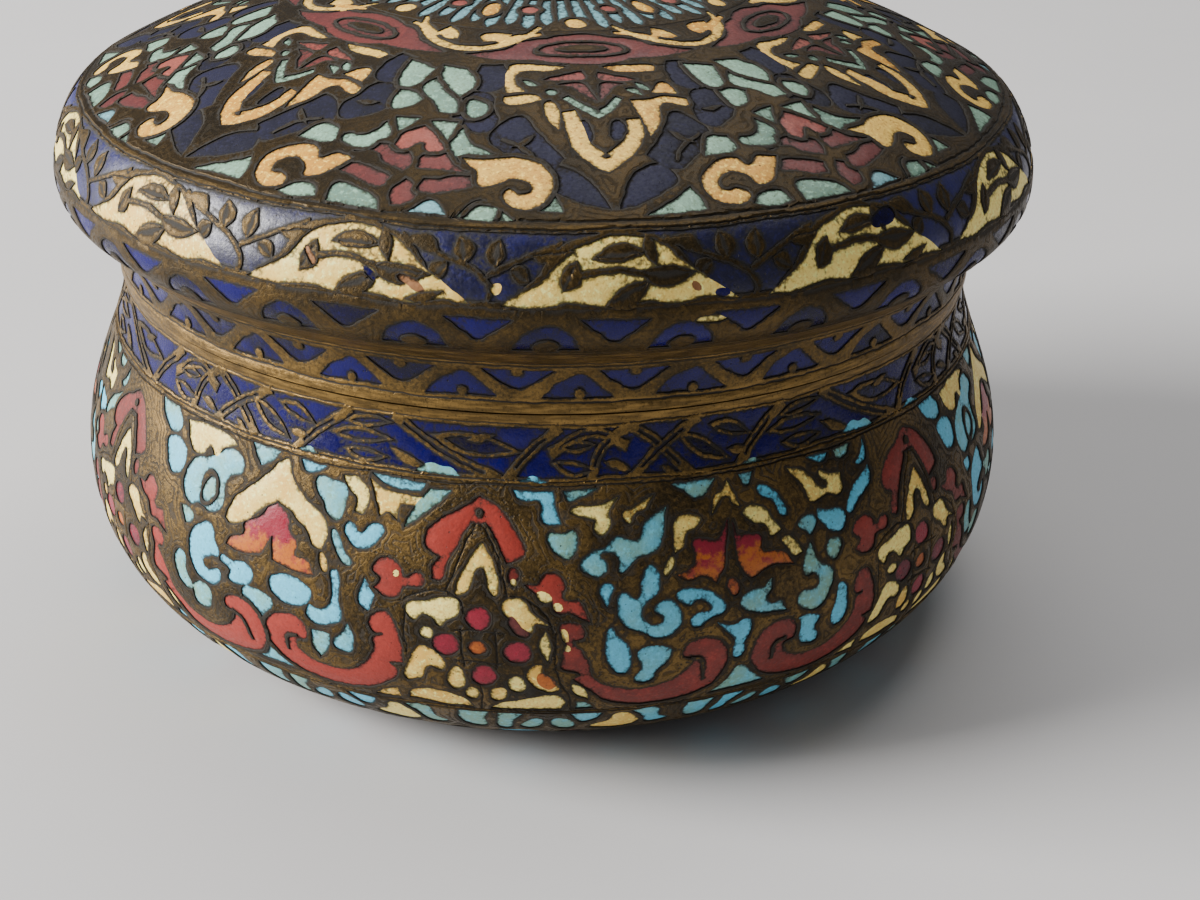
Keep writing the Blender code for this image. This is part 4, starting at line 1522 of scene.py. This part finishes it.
class Nodes:
    """Short ways to add and join the nodes of one material."""

    def __init__(self, name):
        self.material = bpy.data.materials.new(name)
        self.material.use_nodes = True
        self.tree = self.material.node_tree
        self.shader = self.tree.nodes["Principled BSDF"]
        self.place = self.new("ShaderNodeTexCoord").outputs["Object"]

    def new(self, kind, **settings):
        """Adds a node."""
        node = self.tree.nodes.new(kind)
        for key, value in settings.items():
            setattr(node, key, value)
        return node

    def feed(self, socket, value):
        """Joins a socket to another, or sets its constant."""
        if isinstance(value, bpy.types.NodeSocket):
            self.tree.links.new(value, socket)
        else:
            socket.default_value = value

    def noise(self, size, detail=4.0, roughness=0.6):
        """Cloudy noise whose features are about so many millimetres across."""
        node = self.new("ShaderNodeTexNoise")
        self.feed(node.inputs["Vector"], self.place)
        node.inputs["Scale"].default_value = 1.0 / (size * MM)
        node.inputs["Detail"].default_value = detail
        node.inputs["Roughness"].default_value = roughness
        return node.outputs["Fac"]

    def streaks(self):
        """Fine marks that run level round a turned surface."""
        stretch = self.new("ShaderNodeMapping")
        self.feed(stretch.inputs["Vector"], self.place)
        stretch.inputs["Scale"].default_value = (0.12, 0.12, 1.0)
        node = self.new("ShaderNodeTexNoise")
        self.feed(node.inputs["Vector"], stretch.outputs["Vector"])
        node.inputs["Scale"].default_value = 1.0 / (0.3 * MM)
        node.inputs["Detail"].default_value = 4.0
        return node.outputs["Fac"]

    def cells(self, size):
        """Distance to the nearest of scattered points."""
        node = self.new("ShaderNodeTexVoronoi")
        self.feed(node.inputs["Vector"], self.place)
        node.inputs["Scale"].default_value = 1.0 / (size * MM)
        return node.outputs["Distance"]

    def value(self, name):
        """A number kept at the mesh's points."""
        return self.new("ShaderNodeAttribute", attribute_name=name).outputs["Fac"]

    def ramp(self, value, low, high, start=0.0, end=1.0):
        """Eases between two numbers as a value goes from low to high."""
        node = self.new("ShaderNodeMapRange", interpolation_type="SMOOTHSTEP")
        self.feed(node.inputs["Value"], value)
        node.inputs["From Min"].default_value = low
        node.inputs["From Max"].default_value = high
        node.inputs["To Min"].default_value = start
        node.inputs["To Max"].default_value = end
        return node.outputs["Result"]

    def math(self, first, second, operation="ADD"):
        """Two numbers added, or joined by another operation."""
        node = self.new("ShaderNodeMath", operation=operation)
        self.feed(node.inputs[0], first)
        self.feed(node.inputs[1], second)
        return node.outputs[0]

    def mix(self, share, first, second):
        """Two colours mixed by a share of the second."""
        node = self.new("ShaderNodeMix", data_type="RGBA")
        self.feed(node.inputs[0], share)
        self.feed(node.inputs[6], first)
        self.feed(node.inputs[7], second)
        return node.outputs[2]

    def bump(self, height, strength, distance):
        """Roughens the surface by heights, with a full step of so many millimetres."""
        node = self.new("ShaderNodeBump")
        node.inputs["Strength"].default_value = strength
        node.inputs["Distance"].default_value = distance * MM
        self.feed(node.inputs["Height"], height)
        self.feed(self.shader.inputs["Normal"], node.outputs["Normal"])


def rgba(colour):
    """A linear colour with full opacity."""
    return (colour[0], colour[1], colour[2], 1.0)


def gritty(colour, grit):
    """A colour darkened towards its grit, which says how much more than a third of each part is kept."""
    return tuple(part * (0.35 + share) for part, share in zip(colour, grit)) + (1.0,)


def shaded(colour, factor):
    """A colour made darker or lighter."""
    return tuple(min(1.0, part * factor) for part in colour[:3]) + (1.0,)


def enamel_tones(nodes, streaky):
    """How much of an enamel's second tone shows: drifting, or run along the cell."""
    tone = nodes.value("tone")
    if streaky:
        run = nodes.ramp(nodes.noise(1.1, 5.0), 0.3, 0.7, -0.45, 0.45)
        return nodes.ramp(nodes.math(tone, run), 0.35, 0.9)
    return nodes.ramp(nodes.math(tone, nodes.noise(2.2), "MULTIPLY"), 0.1, 0.5)


def ragged_edge(nodes, size):
    """The distance from a cell's wall, as 0 to 1 with a ragged start."""
    return nodes.math(nodes.value("edge"), nodes.ramp(nodes.noise(size), 0.3, 0.7, -0.2, 0.2))


def enamel(name, colour, second, grit=(0.3, 0.2, 0.1), roughness=0.35, speckle=0.5, coat=0.06,
           shine=0.3, streaky=False):
    """Fired enamel: two tones that drift or run into each other, grit, pits, and dirt at its edges."""
    nodes = Nodes(name)
    base = nodes.mix(enamel_tones(nodes, streaky), rgba(colour), rgba(second))

    # Dark grit and pale specks
    grain = nodes.noise(0.3, 4.0, 0.65)
    base = nodes.mix(nodes.ramp(grain, 0.5, 0.66, 0.0, speckle), base, gritty(colour, grit))
    pale = nodes.ramp(nodes.noise(0.42, 4.0, 0.65), 0.52, 0.66, 0.0, speckle)
    base = nodes.mix(pale, base, shaded(colour, 1.5))

    # Small pits, in patches
    pits = nodes.ramp(nodes.cells(0.6), 0.06, 0.16, 1.0, 0.0)
    rare = nodes.ramp(nodes.noise(1.3), 0.50, 0.60)
    pits = nodes.math(pits, rare, "MULTIPLY")
    base = nodes.mix(pits, base, GRIME)

    # Dirt along the walls
    grime = nodes.ramp(ragged_edge(nodes, 0.35), 0.12, 0.58, 0.9, 0.0)
    base = nodes.mix(grime, base, GRIME)
    nodes.feed(nodes.shader.inputs["Base Color"], base)

    rough = nodes.ramp(grain, 0.3, 0.7, roughness, roughness + 0.2)
    dull = nodes.ramp(grime, 0.0, 1.0, 0.0, 0.3)
    nodes.feed(nodes.shader.inputs["Roughness"], nodes.math(rough, dull))
    nodes.shader.inputs["Specular IOR Level"].default_value = shine
    nodes.shader.inputs["Coat Weight"].default_value = coat
    nodes.shader.inputs["Coat Roughness"].default_value = 0.15
    height = nodes.math(nodes.noise(0.35, 4.0), nodes.ramp(pits, 0.0, 1.0, 0.0, -1.2))
    nodes.bump(height, 0.6, 0.07)
    return nodes.material


def furrow_marks(nodes, depth):
    """Furrows that follow the cells' outlines at even distances, unsteady and worn in places."""
    unsteady = nodes.math(nodes.noise(1.4), 9.0, "MULTIPLY")
    waves = nodes.math(nodes.math(nodes.value("away"), 13.0, "MULTIPLY"), unsteady)
    waves = nodes.ramp(nodes.math(waves, 0.0, "SINE"), 0.1, 0.9)
    worn = nodes.ramp(nodes.noise(2.4), 0.35, 0.6, 0.1 * depth, depth)
    return nodes.math(waves, worn, "MULTIPLY")


def punch_marks(nodes):
    """Round punched dots where the brass is stippled."""
    dots = nodes.ramp(nodes.cells(0.42), 0.12, 0.4, 1.0, 0.0)
    return nodes.math(dots, nodes.value("stipple"), "MULTIPLY")


def brass(name, bright, dark, patina, margin=0.6, furrow=0.85):
    """Old brass: black in its hollows and beside the cells, rubbed bright where hands reach."""
    nodes = Nodes(name)

    # Worn and stained metal
    fine = nodes.noise(0.35, 5.0, 0.65)
    worn = nodes.ramp(nodes.math(nodes.noise(9.0, 3.0, 0.5), fine), 0.78, 1.22)
    base = nodes.mix(worn, rgba(dark), rgba(bright))
    stain = nodes.ramp(nodes.noise(3.0, 4.0), 0.42, 0.72, 0.0, patina)
    base = nodes.mix(stain, base, shaded(dark, 0.5))

    # Plain turned rows with level streaks
    plain = nodes.value("plain")
    streaks = nodes.streaks()
    rubbed = nodes.mix(nodes.ramp(streaks, 0.38, 0.66), shaded(bright, 0.55), shaded(bright, 1.35))
    base = nodes.mix(nodes.math(plain, 0.85, "MULTIPLY"), base, rubbed)

    # Furrows and punched dots outside the plain rows, and specks all over
    cut = nodes.math(furrow_marks(nodes, furrow), punch_marks(nodes), "MAXIMUM")
    cut = nodes.math(cut, nodes.ramp(plain, 0.0, 1.0, 1.0, 0.0), "MULTIPLY")
    specks = nodes.ramp(nodes.noise(0.22, 3.0), 0.56, 0.68, 0.0, 0.7)
    specks = nodes.math(specks, cut, "MAXIMUM")
    base = nodes.mix(nodes.math(specks, 0.85, "MULTIPLY"), base, GRIME)

    # Dirt beside the cells and in the engraved lines
    grime = nodes.ramp(ragged_edge(nodes, 0.4), margin * 0.15, margin, 0.95, 0.0)
    hollow = nodes.ramp(nodes.value("groove"), 0.15, 0.8)
    grime = nodes.math(grime, hollow, "MAXIMUM")
    base = nodes.mix(grime, base, GRIME)
    nodes.feed(nodes.shader.inputs["Base Color"], base)

    dull = nodes.math(grime, cut, "MAXIMUM")
    nodes.feed(nodes.shader.inputs["Metallic"], nodes.ramp(dull, 0.2, 1.0, 0.8, 0.1))
    rough = nodes.ramp(nodes.math(fine, dull), 0.3, 1.2, 0.38, 0.8)
    nodes.feed(nodes.shader.inputs["Roughness"], rough)
    height = nodes.math(nodes.noise(0.25, 5.0, 0.7), nodes.math(nodes.noise(1.2), cut, "SUBTRACT"))
    nodes.bump(nodes.math(height, nodes.math(streaks, plain, "MULTIPLY")), 0.6, 0.08)
    return nodes.material


def linear(red, green, blue):
    """A screen colour of 0 to 255 parts as a linear colour."""
    parts = []
    for part in (red, green, blue):
        share = part / 255.0
        parts.append(share / 12.92 if share <= 0.04045 else ((share + 0.055) / 1.055) ** 2.4)
    return tuple(parts)


# What all colour settings share
COLOUR = {"subtype": "COLOR", "min": 0.0, "max": 1.0}


class EnamelColours(bpy.types.PropertyGroup):
    """Colours of the enamels and the brass."""

    turquoise: FloatVectorProperty(
        name="Turquoise", description="Enamel of the body's fields", default=linear(94, 190, 222), **COLOUR)
    sky: FloatVectorProperty(
        name="Sky blue", description="Enamel of the crown's rays", default=linear(112, 164, 172), **COLOUR)
    green: FloatVectorProperty(
        name="Pale green", description="Enamel of the crown's leaves",
        default=linear(126, 160, 138), **COLOUR)
    cream: FloatVectorProperty(
        name="Cream", description="Enamel of the petals and half-moons",
        default=linear(252, 230, 132), **COLOUR)
    brick: FloatVectorProperty(
        name="Brick red", description="Enamel of the body's pointed arches",
        default=linear(144, 48, 38), **COLOUR)
    maroon: FloatVectorProperty(
        name="Maroon", description="Enamel of the crown's palmettes and ring",
        default=linear(96, 42, 38), **COLOUR)
    rose: FloatVectorProperty(
        name="Rose", description="Enamel of the palmettes' cups", default=linear(140, 74, 62), **COLOUR)
    ruby: FloatVectorProperty(
        name="Ruby", description="Enamel of the small petals and flames",
        default=linear(136, 26, 46), **COLOUR)
    amber: FloatVectorProperty(
        name="Amber", description="Enamel of the flames' feet and flower hearts",
        default=linear(178, 96, 26), **COLOUR)
    navy: FloatVectorProperty(
        name="Navy", description="Dull enamel of the crown's panels", default=linear(29, 29, 50), **COLOUR)
    cobalt: FloatVectorProperty(
        name="Cobalt", description="Bright enamel of the bands", default=linear(11, 4, 84), **COLOUR)
    brass_bright: FloatVectorProperty(
        name="Rubbed brass", description="Brass where it is worn", default=linear(138, 109, 58), **COLOUR)
    brass_dark: FloatVectorProperty(
        name="Dark brass", description="Brass under its patina", default=linear(66, 54, 32), **COLOUR)


class SurfaceSizes(bpy.types.PropertyGroup):
    """Depths of the cut and filled surface."""

    cell_depth: FloatProperty(
        name="Cell depth", description="How far the enamel's edge lies under the brass", unit="LENGTH",
        default=0.16 * MM)
    pillow: FloatProperty(
        name="Pillow", description="How far a cell's middle rises above its edge", unit="LENGTH",
        default=0.07 * MM)
    border_round: FloatProperty(
        name="Border rounding", description="How far the brass is rubbed down beside a cell", unit="LENGTH",
        default=0.05 * MM)


def give_finishes(pieces, makers):
    """Gives each piece the material of its filling, made once for all pieces."""
    for piece in pieces:
        name = piece.name.split("_", 2)[2].replace("_enamel", "")
        if name not in makers:
            raise RuntimeError(f"no finish for {name}")
        piece.data.materials.append(material_for(makers[name]))


def material_for(maker):
    """The material of a name and its maker, kept for the next piece."""
    name, make = maker
    found = bpy.data.materials.get(name)
    return found or make(name)


def finishes(scene, brass_maker):
    """For each filling, its material's name and what makes it."""
    tint = scene.box_colours

    def maker(name, colour, second, **options):
        return name, lambda name: enamel(name, colour, second, **options)

    def plain(key, second, **options):
        return maker(f"{key} enamel", getattr(tint, key), second, **options)

    return {
        "turquoise": plain("turquoise", linear(122, 166, 148), speckle=0.4),
        "sky": plain("sky", linear(96, 140, 150), roughness=0.42),
        "green": plain("green", linear(96, 128, 112), roughness=0.45, speckle=0.7),
        "cream": plain("cream", linear(226, 178, 78), grit=(0.35, 0.2, 0.0), roughness=0.42,
                       speckle=0.75),
        "gold_cream": maker("golden cream enamel", linear(224, 182, 84), linear(196, 138, 46),
                            grit=(0.2, 0.05, 0.0), roughness=0.45, speckle=0.85),
        "brick": plain("brick", linear(102, 34, 27), roughness=0.4, speckle=0.35),
        "rust": maker("rust spots", linear(150, 104, 66), linear(96, 58, 36), roughness=0.6),
        "maroon": plain("maroon", linear(80, 34, 34), roughness=0.45),
        "rose": plain("rose", linear(118, 52, 46), roughness=0.42),
        "ruby": plain("ruby", linear(84, 12, 30), roughness=0.25),
        "amber": plain("amber", linear(140, 58, 18), roughness=0.28),
        "navy": plain("navy", linear(18, 18, 32), roughness=0.5, coat=0.0, shine=0.2),
        "cobalt": plain("cobalt", linear(6, 3, 36), roughness=0.16, speckle=0.2, coat=0.0,
                        shine=0.25),
        "cobalt_rim": maker("rim cobalt enamel", linear(24, 25, 88), linear(15, 15, 46),
                            roughness=0.3, speckle=0.3, shine=0.5),
        "flame": maker("flame enamel", tint.ruby, tint.amber, roughness=0.3, speckle=0.35,
                       streaky=True),
        "brass": brass_maker,
    }


def dark_brass(scene):
    """The crown's brass, nearly black, far darker than the brass of the rim and the side."""
    tint = scene.box_colours
    bright, dark = shaded(tint.brass_bright, 0.2), shaded(tint.brass_dark, 0.45)
    return "crown brass", lambda name: brass(name, bright, dark, 0.5, furrow=0.4)


def rim_brass(scene):
    """The dull brass of the lid's rim."""
    tint = scene.box_colours
    bright, dark = shaded(tint.brass_bright, 0.4), shaded(tint.brass_dark, 0.7)
    return "rim brass", lambda name: brass(name, bright, dark, 0.5, margin=0.4, furrow=0.3)


def field_brass(scene):
    """The furrowed brass of the body's side."""
    tint = scene.box_colours
    bright, dark = shaded(tint.brass_bright, 0.62), shaded(tint.brass_dark, 0.62)
    return "field brass", lambda name: brass(name, bright, dark, 0.5)


def golden_brass(scene):
    """The brass of the neck and the lip, rubbed by hands."""
    tint = scene.box_colours
    bright = shaded(tint.brass_bright, 0.74)
    return "neck brass", lambda name: brass(name, bright, tint.brass_dark, 0.4, margin=0.28, furrow=0.2)


# Steps of the making

class BOX_OT_lid_crown(bpy.types.Operator):
    """Make the lid's domed top with its enamels"""

    bl_idname = "box.lid_crown"
    bl_label = "Lid crown"

    def execute(self, context):
        pieces = build_zone(crown(), context.scene.box_sizes)
        give_finishes(pieces, finishes(context.scene, dark_brass(context.scene)))
        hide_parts("lid")
        return {"FINISHED"}


class BOX_OT_lid_side(bpy.types.Operator):
    """Make the lid's rim, underside and neck with their enamels"""

    bl_idname = "box.lid_side"
    bl_label = "Lid rim and neck"

    def execute(self, context):
        for zone, brass_maker in ((lid_rim(), rim_brass), (lid_neck(), golden_brass)):
            pieces = build_zone(zone, context.scene.box_sizes)
            give_finishes(pieces, finishes(context.scene, brass_maker(context.scene)))
        return {"FINISHED"}


class BOX_OT_lid_inside(bpy.types.Operator):
    """Make the lid's plain inner side and its lower edge"""

    bl_idname = "box.lid_inside"
    bl_label = "Lid inside"

    def execute(self, context):
        inner = inset(LID, LID_WALL, start=LID.end, end=0.001, steps=56)
        outline = [(LIP_RADIUS, LID_SEAT), (LIP_RADIUS - LID_WALL, LID_SEAT), *inner[1:]]
        outline[-1] = (0.0, outline[-1][1])
        piece = turned("lid_inside_brass", outline)
        piece.data.materials.append(material_for(golden_brass(context.scene)))
        return {"FINISHED"}


class BOX_OT_body_side(bpy.types.Operator):
    """Make the body's outer side with its enamels"""

    bl_idname = "box.body_side"
    bl_label = "Body side"

    def execute(self, context):
        for zone, brass_maker in ((body_lattice(), golden_brass), (body_side(), field_brass)):
            pieces = build_zone(zone, context.scene.box_sizes)
            give_finishes(pieces, finishes(context.scene, brass_maker(context.scene)))
            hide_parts("body")
        return {"FINISHED"}


class BOX_OT_body_inside(bpy.types.Operator):
    """Make the body's mouth, the ring inside it, its plain inner side and its foot"""

    bl_idname = "box.body_inside"
    bl_label = "Body inside and foot"

    def execute(self, context):
        ring_outer = LIP_RADIUS - LID_WALL - RING_CLEARANCE
        ring_inner = ring_outer - RING_WALL
        step = BODY_HEIGHT - RING_DEPTH
        inner = inset(BODY, BODY_WALL, start=0.0, end=BODY.end, steps=48)
        wall = [point for point in inner if FLOOR_TOP < point[1] < step]
        outline = [
            (0.0, FLOOR_TOP),
            (wall[-1][0], FLOOR_TOP),
            *reversed(wall),
            (wall[0][0], step),
            (ring_inner, step),
            (ring_inner, RING_TOP),
            (ring_outer, RING_TOP),
            (ring_outer, BODY_HEIGHT),
            (MOUTH_RADIUS, BODY_HEIGHT),
        ]
        brass_finish = golden_brass(context.scene)
        inside = turned("body_inside_brass", outline)
        inside.data.materials.append(material_for(brass_finish))
        foot_inner = FOOT_RADIUS - FOOT_RING_WIDTH
        under = [
            (FOOT_RADIUS, 0.0),
            (foot_inner, 0.0),
            (foot_inner, FOOT_RECESS),
            (0.0, FOOT_RECESS),
        ]
        foot = turned("body_foot_brass", under)
        foot.data.materials.append(material_for(brass_finish))
        return {"FINISHED"}


# Stage: the floor, the lights and the camera

class StageSettings(bpy.types.PropertyGroup):
    """Camera and light."""

    lens: FloatProperty(name="Lens", description="Focal length in millimetres", default=54.0)
    light: FloatProperty(name="Light", description="Strength of the main light in watts", default=55.0)


class BOX_OT_stage(bpy.types.Operator):
    """Lay a pale floor, set soft lights and place the camera"""

    bl_idname = "box.stage"
    bl_label = "Floor, lights and camera"

    def execute(self, context):
        place_floor()
        place_lights(context.scene.box_stage)
        place_camera(context.scene, context.scene.box_stage)
        return {"FINISHED"}


def floor_material():
    """Plain pale grey for the floor."""
    nodes = Nodes("pale floor")
    base = nodes.mix(nodes.noise(60.0), (0.52, 0.51, 0.51, 1.0), (0.56, 0.55, 0.55, 1.0))
    nodes.feed(nodes.shader.inputs["Base Color"], base)
    nodes.shader.inputs["Roughness"].default_value = 0.9
    return nodes.material


def place_floor():
    """A wide floor that lies just under the foot."""
    half, drop = 3.0, 0.05 * MM
    corners = [(-half, -half, 0.0), (half, -half, 0.0), (half, half, 0.0), (-half, half, 0.0)]
    mesh = bpy.data.meshes.new("floor")
    mesh.from_pydata(corners, [], [(0, 1, 2, 3)])
    mesh.materials.append(floor_material())
    floor = bpy.data.objects.new("floor", mesh)
    floor.location.z = -drop
    bpy.context.scene.collection.objects.link(floor)


def area_light(name, place, target, size, power, colour):
    """A soft square light that faces a point."""
    light = bpy.data.lights.new(name, "AREA")
    light.size = size
    light.energy = power
    light.color = colour
    lamp = bpy.data.objects.new(name, light)
    lamp.location = place
    aim = Vector(target) - Vector(place)
    lamp.rotation_mode = "QUATERNION"
    lamp.rotation_quaternion = aim.to_track_quat("-Z", "Y")
    bpy.context.scene.collection.objects.link(lamp)


def place_lights(stage):
    """A large window-like light on the left, a weak fill from above and a pale room."""
    area_light(
        "main light", place=(-1.17, -0.12, 0.56), target=(0.0, 0.0, 0.03),
        size=0.66, power=stage.light, colour=(1.0, 0.985, 0.96))
    area_light(
        "top light", place=(0.1, 0.3, 0.85), target=(0.0, 0.0, 0.04),
        size=0.7, power=stage.light * 0.1, colour=(1.0, 0.99, 0.97))
    world = bpy.data.worlds.new("pale room")
    world.use_nodes = True
    background = world.node_tree.nodes["Background"]
    background.inputs["Color"].default_value = (0.92, 0.94, 1.0, 1.0)
    background.inputs["Strength"].default_value = 0.21
    bpy.context.scene.world = world


def place_camera(scene, stage):
    """The camera of the photograph: close, low and turned a little."""
    place = Vector((0.0, -184.3, 106.7)) * MM
    elevation, pan, tilt, roll = 0.269, 0.031, -0.208, 0.013  # radians
    forward = Vector((0.0, math.cos(elevation), -math.sin(elevation)))
    right = Vector((1.0, 0.0, 0.0))
    up = right.cross(forward)
    panned = forward * math.cos(pan) + right * math.sin(pan)
    right = right * math.cos(pan) - forward * math.sin(pan)
    tilted = panned * math.cos(tilt) + up * math.sin(tilt)
    up = up * math.cos(tilt) - panned * math.sin(tilt)
    rolled = right * math.cos(roll) + up * math.sin(roll)
    up = up * math.cos(roll) - right * math.sin(roll)
    turn = Matrix((rolled, up, -tilted)).transposed()
    data = bpy.data.cameras.new("camera")
    data.lens = stage.lens
    data.sensor_width = 36.0
    data.clip_start = 0.01
    camera = bpy.data.objects.new("camera", data)
    camera.matrix_world = Matrix.Translation(place) @ turn.to_4x4()
    scene.collection.objects.link(camera)
    scene.camera = camera


# Panel and registration

STEPS = (
    BOX_OT_lid_crown,
    BOX_OT_lid_side,
    BOX_OT_lid_inside,
    BOX_OT_body_side,
    BOX_OT_body_inside,
    BOX_OT_stage,
)


class BOX_PT_maker(bpy.types.Panel):
    """Sidebar panel that lists the steps."""

    bl_idname = "BOX_PT_maker"
    bl_label = "Enamelled Brass Box"
    bl_space_type = "VIEW_3D"
    bl_region_type = "UI"
    bl_category = "Enamel Box"

    def draw(self, context):
        for group in (context.scene.box_sizes, context.scene.box_colours, context.scene.box_stage):
            for key in group.bl_rna.properties.keys():
                if key not in ("rna_type", "name"):
                    self.layout.prop(group, key)
        for step in STEPS:
            self.layout.operator(step.bl_idname)


CLASSES = (SurfaceSizes, EnamelColours, StageSettings, *STEPS, BOX_PT_maker)


def register():
    """Adds the classes and their settings to the scene."""
    for kind in CLASSES:
        bpy.utils.register_class(kind)
    bpy.types.Scene.box_sizes = PointerProperty(type=SurfaceSizes)
    bpy.types.Scene.box_colours = PointerProperty(type=EnamelColours)
    bpy.types.Scene.box_stage = PointerProperty(type=StageSettings)


def unregister():
    """Takes the settings and the classes away again."""
    del bpy.types.Scene.box_stage
    del bpy.types.Scene.box_colours
    del bpy.types.Scene.box_sizes
    for kind in reversed(CLASSES):
        bpy.utils.unregister_class(kind)


def main():
    """Makes the dressed part and its stage, step by step."""
    register()
    bpy.ops.box.lid_crown()
    bpy.ops.box.lid_side()
    bpy.ops.box.lid_inside()
    bpy.ops.box.body_side()
    bpy.ops.box.body_inside()
    bpy.ops.box.stage()


if __name__ == "__main__":
    main()
